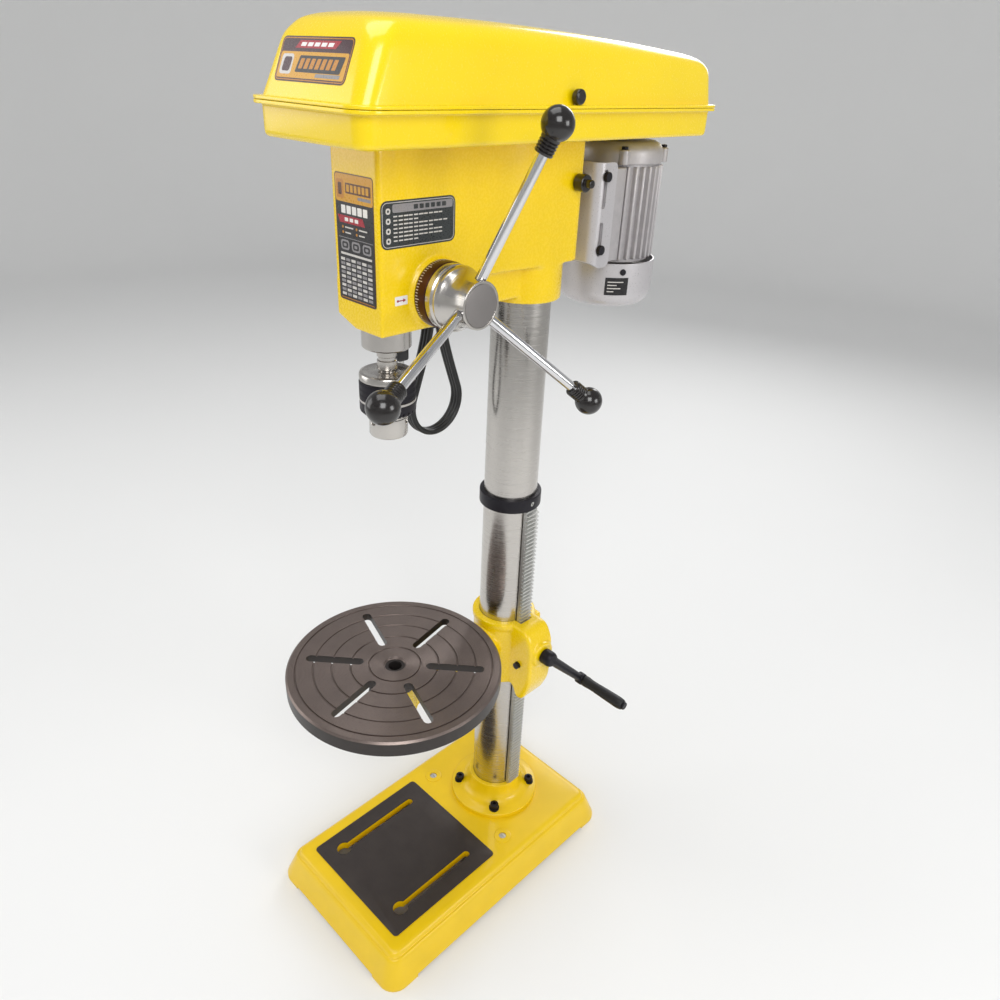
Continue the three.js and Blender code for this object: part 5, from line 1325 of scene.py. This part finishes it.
def straight(start, end, count):
    """The points between two points."""
    return [(start[0] + (end[0] - start[0]) * k / count, start[1] + (end[1] - start[1]) * k / count)
            for k in range(1, count)]


# ---- motor ---------------------------------------------------------------------------------------

class DRILLPRESS_OT_motor(bpy.types.Operator):
    """Adds the finned motor, its sliding plate and the slide's lock"""

    bl_idname = "drill_press.motor"
    bl_label = "Motor"

    def execute(self, context):
        rough, smooth = silver_casting(), silver_sheet()
        centre = (0, MOTOR_Y, 0)
        self.body(rough)
        bell = rounded([(8.8, 1043.3), (56, 1043.3), (56, 1060), (48, 1068), (8.8, 1068)],
                       [0, 1.5, 8, 8, 0], 6)
        lugs = [(57 * c, MOTOR_Y + 57 * s) for c, s in at_corners(1, 4, 45)]
        piece("motor_bell_cast", "motor", rough, [
            hollow(bell, centre, "z", 96),
            *[turned(stub(6, (1043.3, 1060), (1, 2), 4), (x, y, 0), "z", 40)
              for x, y in lugs]], nodes=["motor_end_bell"])
        for k, (x, y) in enumerate(lugs):
            piece(f"bell_screw_{k + 1}", "motor", black_oxide(), [
                hexagon("z", 4.4, (1059.6, 1063.4), (x, y), 0.6)])
        cowl = rounded([(10, 871), (52, 871), (62, 883), (62, 928), (60, 928), (60, 884), (50, 873),
                        (10, 873)], [0, 10, 14, 0.5, 0.5, 12, 8, 0], 7)
        vents = [prism("z", slot((20 * c, MOTOR_Y + 20 * s), (44 * c, MOTOR_Y + 44 * s), 3), (866, 879))
                 for c, s in at_corners(1, 12, 0)]
        piece("cowl_pressed", "motor", smooth, [hollow(cowl, centre, "z", 128)], cuts=vents,
              nodes=["fan_cowl"])
        for k, angle in enumerate((-32, 88, 208)):
            side = Vector((math.cos(math.radians(angle)), math.sin(math.radians(angle)), 0))
            place = Vector((0, MOTOR_Y, 918)) + side * 61
            piece(f"cowl_screw_{k + 1}", "motor", black_oxide(), [
                turned(stub(4, (0, 2.6), (0, 1.4), 4), place, side, 32)])
        self.rating_plate()
        self.rotor()
        self.plate(smooth)
        self.slide()
        return {"FINISHED"}

    def body(self, look):
        """A round body with thick upright fins and a flat foot."""
        count, reach = 27, 276
        outline = []
        for k in range(count):
            middle = -48 + reach * k / (count - 1)
            for r, by in ((51, -2.9), (53, -2.2), (57.2, -1.7), (58, -0.9), (58, 0.9), (57.2, 1.7), (53, 2.2),
                          (51, 2.9)):
                turn = math.radians(middle) + by / r
                outline.append((r * math.cos(turn), MOTOR_Y + r * math.sin(turn)))
        outline += arc((0, MOTOR_Y), 51, 234, 306, 12)
        low, high = corners("motor_body")[0].z, corners("motor_body")[1].z
        foot = round_rect(-49.2, 49.2, 67, 127, 12, 6)
        piece("motor_body_cast", "motor", look, [
            prism("z", outline, (low + 4, high - 2), 1.2), bar("z", 52, (low, high), (0, MOTOR_Y), 96),
            prism("z", foot, (low + 6, high - 2), 1.5)], cuts=[bar("z", 8.6, (900, 1100), (0, MOTOR_Y))],
            nodes=["motor_body"])

    def rating_plate(self):
        """A small dark plate with blank lines, riveted to the cowl."""
        def bent(name, look, low_angle, high_angle, low, high, r):
            angles = [low_angle + (high_angle - low_angle) * i / 10 for i in range(11)]
            ring = [(math.cos(math.radians(a)), math.sin(math.radians(a))) for a in angles]
            line = [(61.6 * c, MOTOR_Y + 61.6 * s) for c, s in ring]
            line += [(r * c, MOTOR_Y + r * s) for c, s in reversed(ring)]
            piece(name, "motor", look, [prism("z", line, (low, high))])
        bent("rating_plate", print_ink("black", "1B191B"), -52, -24, 889, 911, 62.25)
        pale = print_ink("pale", "CFCBC6")
        for k in range(4):
            bent(f"rating_line_{k + 1}", pale, -49, (-30, -38, -33, -41)[k], 905 - 4 * k, 906.2 - 4 * k, 62.4)

    def rotor(self):
        blades = []
        for c, s in at_corners(1, 7, 0):
            along, across = Vector((c, s, 0)), Vector((-s, c, 0))
            outline = [along * 10 - across, along * 50 - across, along * 50 + across, along * 10 + across]
            blades.append(prism("z", [(p.x, p.y + MOTOR_Y) for p in outline], (894, 918)))
        piece("rotor_shaft", "rotor", plain_steel(), [
            turned(stub(8, (880, 1144), (1, 1), 3), (0, MOTOR_Y, 0), "z", 64),
            bar("z", 16, (890, 920), (0, MOTOR_Y)), *blades], nodes=["rotor"])

    def plate(self, look):
        half, front, back, sheet, bend = (PLATE[k] for k in ("half", "front", "back", "sheet", "bend"))
        low, high = PLATE["bottom"], PLATE["top"]
        outer = round_rect(-half, half, front, back + 40, bend, 8)
        inner = round_rect(-half + sheet, half - sheet, front + sheet, back + 60, bend - sheet, 8)
        side = rounded([(front - 2, low + 9), (front + 14, low), (back, low), (back, high),
                        (front - 2, high)], [0, 4, 9, 9, 0], 6)
        slots = [prism("x", slot((front + 13, a), (front + 13, b), 3.6), (-60, 60))
                 for a, b in ((1002, 1038), (948, 980))]
        piece("motor_plate_bent", "motor", look, [prism("z", outer, (low, high))],
              keep=prism("x", side, (-60, 60)), cuts=[prism("z", inner, (low - 5, high + 5)), *slots,
              *[bar("y", 5.2, (front - 2, front + 8), (s * SLIDE_BAR[0], SLIDE_BAR[1])) for s in (-1, 1)]],
              nodes=["motor_plate"])
        for k, (side_x, z) in enumerate([(s, z) for s in (-1, 1) for z in (1034, 952)]):
            profile = stub(5.6, (0, 5), (0, 0.8), 3)
            start = (side_x * (half + 0.1), front + 13, z)
            piece(f"plate_screw_{k + 1}", "motor", black_oxide(), [
                turned(profile, start, (side_x, 0, 0), 96,
                       lambda turn, along: -0.3 * (math.cos(24 * turn) < 0))])

    def slide(self):
        x, z, r = SLIDE_BAR
        for name, side in (("left", -1), ("right", 1)):
            profile = rounded([(0, -14), (r, -14), (r, 61.7), (5, 61.7), (5, 66.5), (0, 66.5)],
                              [0, 1, 0.5, 0, 0.5, 0], 3)
            piece(f"slide_bar_{name}_ground", "motor", plain_steel(),
                  [turned(profile, (side * x, 0, z), "y", 64)], nodes=[f"slide_bar_{name}"])
        knob = rounded([(0, 36.4), (4, 36.4), (4, 47), (9.5, 47), (9.5, 60), (4.6, 60), (4.6, 68),
                        (0, 68)], [0, 0.4, 0, 1.5, 1.5, 0.4, 1.2, 0], 4)
        piece("slide_lock_knob", "slide_lock", black_gloss(), [
            turned(knob, (0, 32, z), "x", 96,
                   lambda turn, along: -0.5 * (math.cos(16 * turn) < 0) * (48.5 < along < 58.5))],
            nodes=["slide_lock"])


# ---- switch --------------------------------------------------------------------------------------

class DRILLPRESS_OT_switch(bpy.types.Operator):
    """Adds the switch box and its two buttons"""

    bl_idname = "drill_press.switch"
    bl_label = "Switch"

    def execute(self, context):
        front, back, low, high, face = (SWITCH[k] for k in ("front", "back", "bottom", "top", "face"))
        outline = round_rect(front, back, low, high, 6, 8)
        holes = [bar("x", 9.4, (-70, -55), place) for place in BUTTONS.values()]
        piece("switch_housing", "stand", black_matt(), [prism("x", outline, (face, -37.3), 2.0),
              *[turned([(10.4, face - 1.2), (12.6, face - 1.2), (13.4, face + 0.4), (10.4, face + 0.4),
                        (10.4, face - 1.2)], (0, *place), "x", 64) for place in BUTTONS.values()]],
              cuts=[prism("x", inset(outline, 3), (face + 3, -36)), *holes,
                    bar("y", 5, (GLAND[1] - 6, GLAND[1] + 2), (GLAND[0], GLAND[2]))],
              nodes=["switch_box"])
        colours = {"start": ("green", "1F8F40"), "stop": ("red", "C0211C")}
        for name, place in BUTTONS.items():
            word, colour = colours[name]
            # Glossy moulded nylon, lightly dished for a fingertip.
            look = surface(f"{word}_nylon", colour, 0.3, shade=0.05, patch=10, grain=1.0, depth=0.01)
            profile = rounded([(0, face - 3.2), (6, face - 3.6), (9, face - 4), (9, face + 8), (0, face + 8)],
                              [0, 2, 1.2, 0.5, 0], 4)
            piece(f"{name}_cap", f"{name}_button", look, [turned(profile, (0, *place), "x", 64)],
                  nodes=[f"{name}_button"])
        for k, (y, z) in enumerate([(front + 6, low + 6), (back - 6, high - 6)]):
            piece(f"switch_screw_{k + 1}", "stand", zinc_plate(), [
                turned(stub(3, (face + 0.5, face - 1.2), (0, 0.8), 3), (0, y, z), "x", 32)])
        return {"FINISHED"}


# ---- labels --------------------------------------------------------------------------------------

class Sheet:
    """A flat label: a corner, the directions along and up it, and the body it is stuck to."""

    def __init__(self, name, body, corner, along, up):
        self.name, self.body = name, body
        self.corner, self.along, self.up = Vector(corner), Vector(along).normalized(), Vector(up).normalized()
        self.out = self.along.cross(self.up)
        self.parts = {}

    def patch(self, colour, outline, layer):
        """Lays down one patch of ink. Each layer stands a little above the last."""
        low, high = 0.02, 0.12 + 0.06 * layer
        rings = [[self.corner + self.along * u + self.up * v + self.out * w for u, v in outline]
                 for w in (low, high)]
        points, faces = lofted(rings)
        held = self.parts.setdefault(colour, ([], []))
        held[1].extend(tuple(i + len(held[0]) for i in face) for face in faces)
        held[0].extend(points)

    def panel(self, colour, u1, v1, u2, v2, r, layer, lean=0.0):
        outline = round_rect(u1, u2, v1, v2, r, 4) if r else [(u1, v1), (u2, v1), (u2, v2), (u1, v2)]
        self.patch(colour, [(u + lean * (v - v1), v) for u, v in outline], layer)

    def finish(self):
        for colour, shape in self.parts.items():
            piece(f"{self.name}_{colour}", self.body, print_ink(colour, INKS[colour]), [shape], crease=20)


INKS = {"black": "1B191B", "maroon": "3B1620", "red": "A3172A", "gold": "D39A1E", "amber": "C07F1A",
        "pale": "CFCBC6", "grey": "8C898B", "charcoal": "2B2F30", "white": "EDEBE8", "brown": "5A3418"}


class DRILLPRESS_OT_labels(bpy.types.Operator):
    """Adds the labels, with blank bars and grids in place of any words"""

    bl_idname = "drill_press.labels"
    bl_label = "Labels"

    def execute(self, context):
        self.lid_label()
        self.front_label()
        self.side_label()
        self.pointer_label()
        return {"FINISHED"}

    def lid_label(self):
        rake = Vector((0, RAKE_DEPTH, RAKE_SHARE * LID_RISE)).normalized()
        low = Vector((-56, GUARD["front"] + 6.6,
                      SEAM + 0.2 + 6.6 * RAKE_SHARE * LID_RISE / RAKE_DEPTH))
        sheet = Sheet("lid_label", "lid", low - Vector((0, 0.1, 0)), (1, 0, 0), rake)
        width, height = 106, 38
        sheet.panel("maroon", 0, 0, width, height, 5, 0)
        sheet.panel("amber", 1.2, 1.2, width - 1.2, height - 1.2, 4.2, 1)
        sheet.panel("maroon", 2.0, 2.0, width - 2.0, height - 2.0, 3.6, 2)
        sheet.panel("gold", 3, 3, width - 3, 25, 2, 3)
        sheet.panel("red", 22, 28, 82, 34.5, 0, 3, lean=0.9)
        for k in range(5):
            sheet.panel("white", 30 + 10 * k, 29.6, 37.5 + 10 * k, 32.8, 0.4, 4, lean=0.4)
        sheet.panel("black", 30, 8, 96, 22, 1.5, 4, lean=0.25)
        sheet.panel("pale", 6, 6, 24, 23, 3, 4)
        sheet.panel("maroon", 9, 8.5, 21, 20.5, 2.4, 5, lean=0.1)
        for k in range(7):
            sheet.panel("amber", 34 + 8.2 * k, 11, 39.6 + 8.2 * k, 19.6, 0.6, 5, lean=0.25)
        sheet.panel("grey", 62, 4.4, 97, 7.4, 0.6, 5, lean=0.25)
        sheet.finish()

    def front_label(self):
        sheet = Sheet("front_label", "stand", (-30, HEAD["front"] - 0.05, 926.5), (1, 0, 0), (0, 0, 1))
        width, height = 60, 121
        sheet.panel("brown", 0, 0, width, height, 3.5, 0)
        sheet.panel("gold", 1, 95, width - 1, height - 1, 2.8, 1)
        sheet.panel("black", 1, 1, width - 1, 95, 0.6, 1)
        sheet.panel("amber", 3, 98, 14, 115, 1.2, 2)
        sheet.panel("brown", 5.5, 101, 11, 112, 1.2, 3)
        sheet.panel("brown", 17, 103, 56, 112.5, 0.8, 2)
        for k in range(6):
            sheet.panel("gold", 18.8 + 6 * k, 104.6, 23 + 6 * k, 111, 0.4, 3)
        sheet.panel("grey", 36, 98.6, 56, 101.4, 0.5, 2)
        for k in range(5):
            sheet.panel("white", 9 + 8.6 * k, 84.5, 15.8 + 8.6 * k, 92, 0.5, 2)
        sheet.panel("red", 6, 75.5, 46, 82.5, 0, 2, lean=-0.5)
        for k in range(3):
            sheet.panel("white", 14 + 8 * k, 77.4, 19.5 + 8 * k, 80.8, 0.4, 3)
        for row in range(2):
            for k in range(2):
                sheet.panel("amber", 9 + 22 * k, 70.4 - 5 * row, 11.6 + 22 * k, 73 - 5 * row, 1.2, 2)
                sheet.panel("pale", 14 + 22 * k, 71.0 - 5 * row, 27 + 22 * k - 4 * row, 72.3 - 5 * row, 0, 2)
        sheet.panel("grey", 3, 61.4, 57, 62, 0, 2)
        for k in range(3):
            sheet.panel("grey", 6 + 17.5 * k, 50, 19.5 + 17.5 * k, 59.6, 3, 2)
            sheet.panel("black", 8 + 17.5 * k, 51.8, 17.5 + 17.5 * k, 57.8, 2, 3)
            sheet.panel("grey", 10.4 + 17.5 * k, 53.4, 15 + 17.5 * k, 56.2, 1, 4)
        sheet.panel("pale", 5, 45.2, 55, 47.4, 0.5, 2)
        for row in range(9):
            for column in range(6):
                u, v = 4.4 + 8.7 * column, 5 + 4.3 * row
                sheet.panel("grey" if (row + column) % 2 else "pale", u, v, u + 6.8, v + 2.7, 0.3, 2)
        sheet.panel("amber", 3, 2, 57, 2.7, 0, 2)
        sheet.finish()

    def side_label(self):
        sheet = Sheet("side_label", "stand", (HEAD["half"] + 0.05, -240, 984), (0, 1, 0), (0, 0, 1))
        width, height = 94, 44
        sheet.panel("charcoal", 0, 0, width, height, 7, 0)
        sheet.panel("pale", 1.6, 1.6, width - 1.6, height - 1.6, 5.8, 1)
        sheet.panel("charcoal", 2.2, 2.2, width - 2.2, height - 2.2, 5.2, 2)
        sheet.panel("grey", 14, 33, width - 4, height - 3.4, 2, 3)
        for k in range(6):
            sheet.panel("charcoal", 40 + 7.2 * k, 34.8, 45.2 + 7.2 * k, 39, 0.6, 4)
        for k in range(4):
            sheet.panel("pale", 6, 5 + 9 * k, 11.5, 10.5 + 9 * k, 2.2, 3)
            sheet.panel("charcoal", 7.6, 6.6 + 9 * k, 9.9, 8.9 + 9 * k, 0.8, 4)
        for k, length in enumerate((60, 30, 66, 48, 62, 64, 34)):
            v = 29 - 3.7 * k
            start = 15.0
            for word in range(int(length // 6)):
                sheet.panel("pale", start, v, start + 4.6 + (word % 3) * 0.5, v + 1.25, 0.2, 3)
                start += 6.3
        sheet.finish()

    def pointer_label(self):
        sheet = Sheet("zero_mark", "stand", (HEAD["half"] + 0.05, -225, 929), (0, 1, 0), (0, 0, 1))
        sheet.panel("white", 0, 0, 16, 9, 0.8, 0)
        sheet.panel("red", 4, 4.0, 11, 5.0, 0, 1)
        sheet.patch("red", [(10.4, 2.6), (14, 4.5), (10.4, 6.4)], 1)
        sheet.patch("red", arc((3.6, 4.5), 1.3, 0, 330, 11), 1)
        sheet.finish()


# ---- panel and registration ----------------------------------------------------------------------

STEPS_IN_ORDER = (DRILLPRESS_OT_stage, DRILLPRESS_OT_lead, DRILLPRESS_OT_base, DRILLPRESS_OT_table,
                  DRILLPRESS_OT_head, DRILLPRESS_OT_feed, DRILLPRESS_OT_guard, DRILLPRESS_OT_drive,
                  DRILLPRESS_OT_motor, DRILLPRESS_OT_switch, DRILLPRESS_OT_labels)


class DRILLPRESS_PT_panel(bpy.types.Panel):
    """Lists the settings and the groups of pieces"""

    bl_label = "Drill Press"
    bl_idname = "DRILLPRESS_PT_panel"
    bl_space_type = "VIEW_3D"
    bl_region_type = "UI"
    bl_category = "Drill Press"

    def draw(self, context):
        for name in PressSettings.__annotations__:
            self.layout.prop(context.scene.drill_press, name)
        for step in STEPS_IN_ORDER:
            self.layout.operator(step.bl_idname)


CLASSES = (PressSettings, *STEPS_IN_ORDER, DRILLPRESS_PT_panel)


def register():
    for made in CLASSES:
        bpy.utils.register_class(made)
    bpy.types.Scene.drill_press = bpy.props.PointerProperty(type=PressSettings)


def unregister():
    del bpy.types.Scene.drill_press
    for made in reversed(CLASSES):
        bpy.utils.unregister_class(made)


def main():
    register()
    for step in STEPS_IN_ORDER:
        group, name = step.bl_idname.split(".")
        getattr(getattr(bpy.ops, group), name)()


if __name__ == "__main__":
    main()
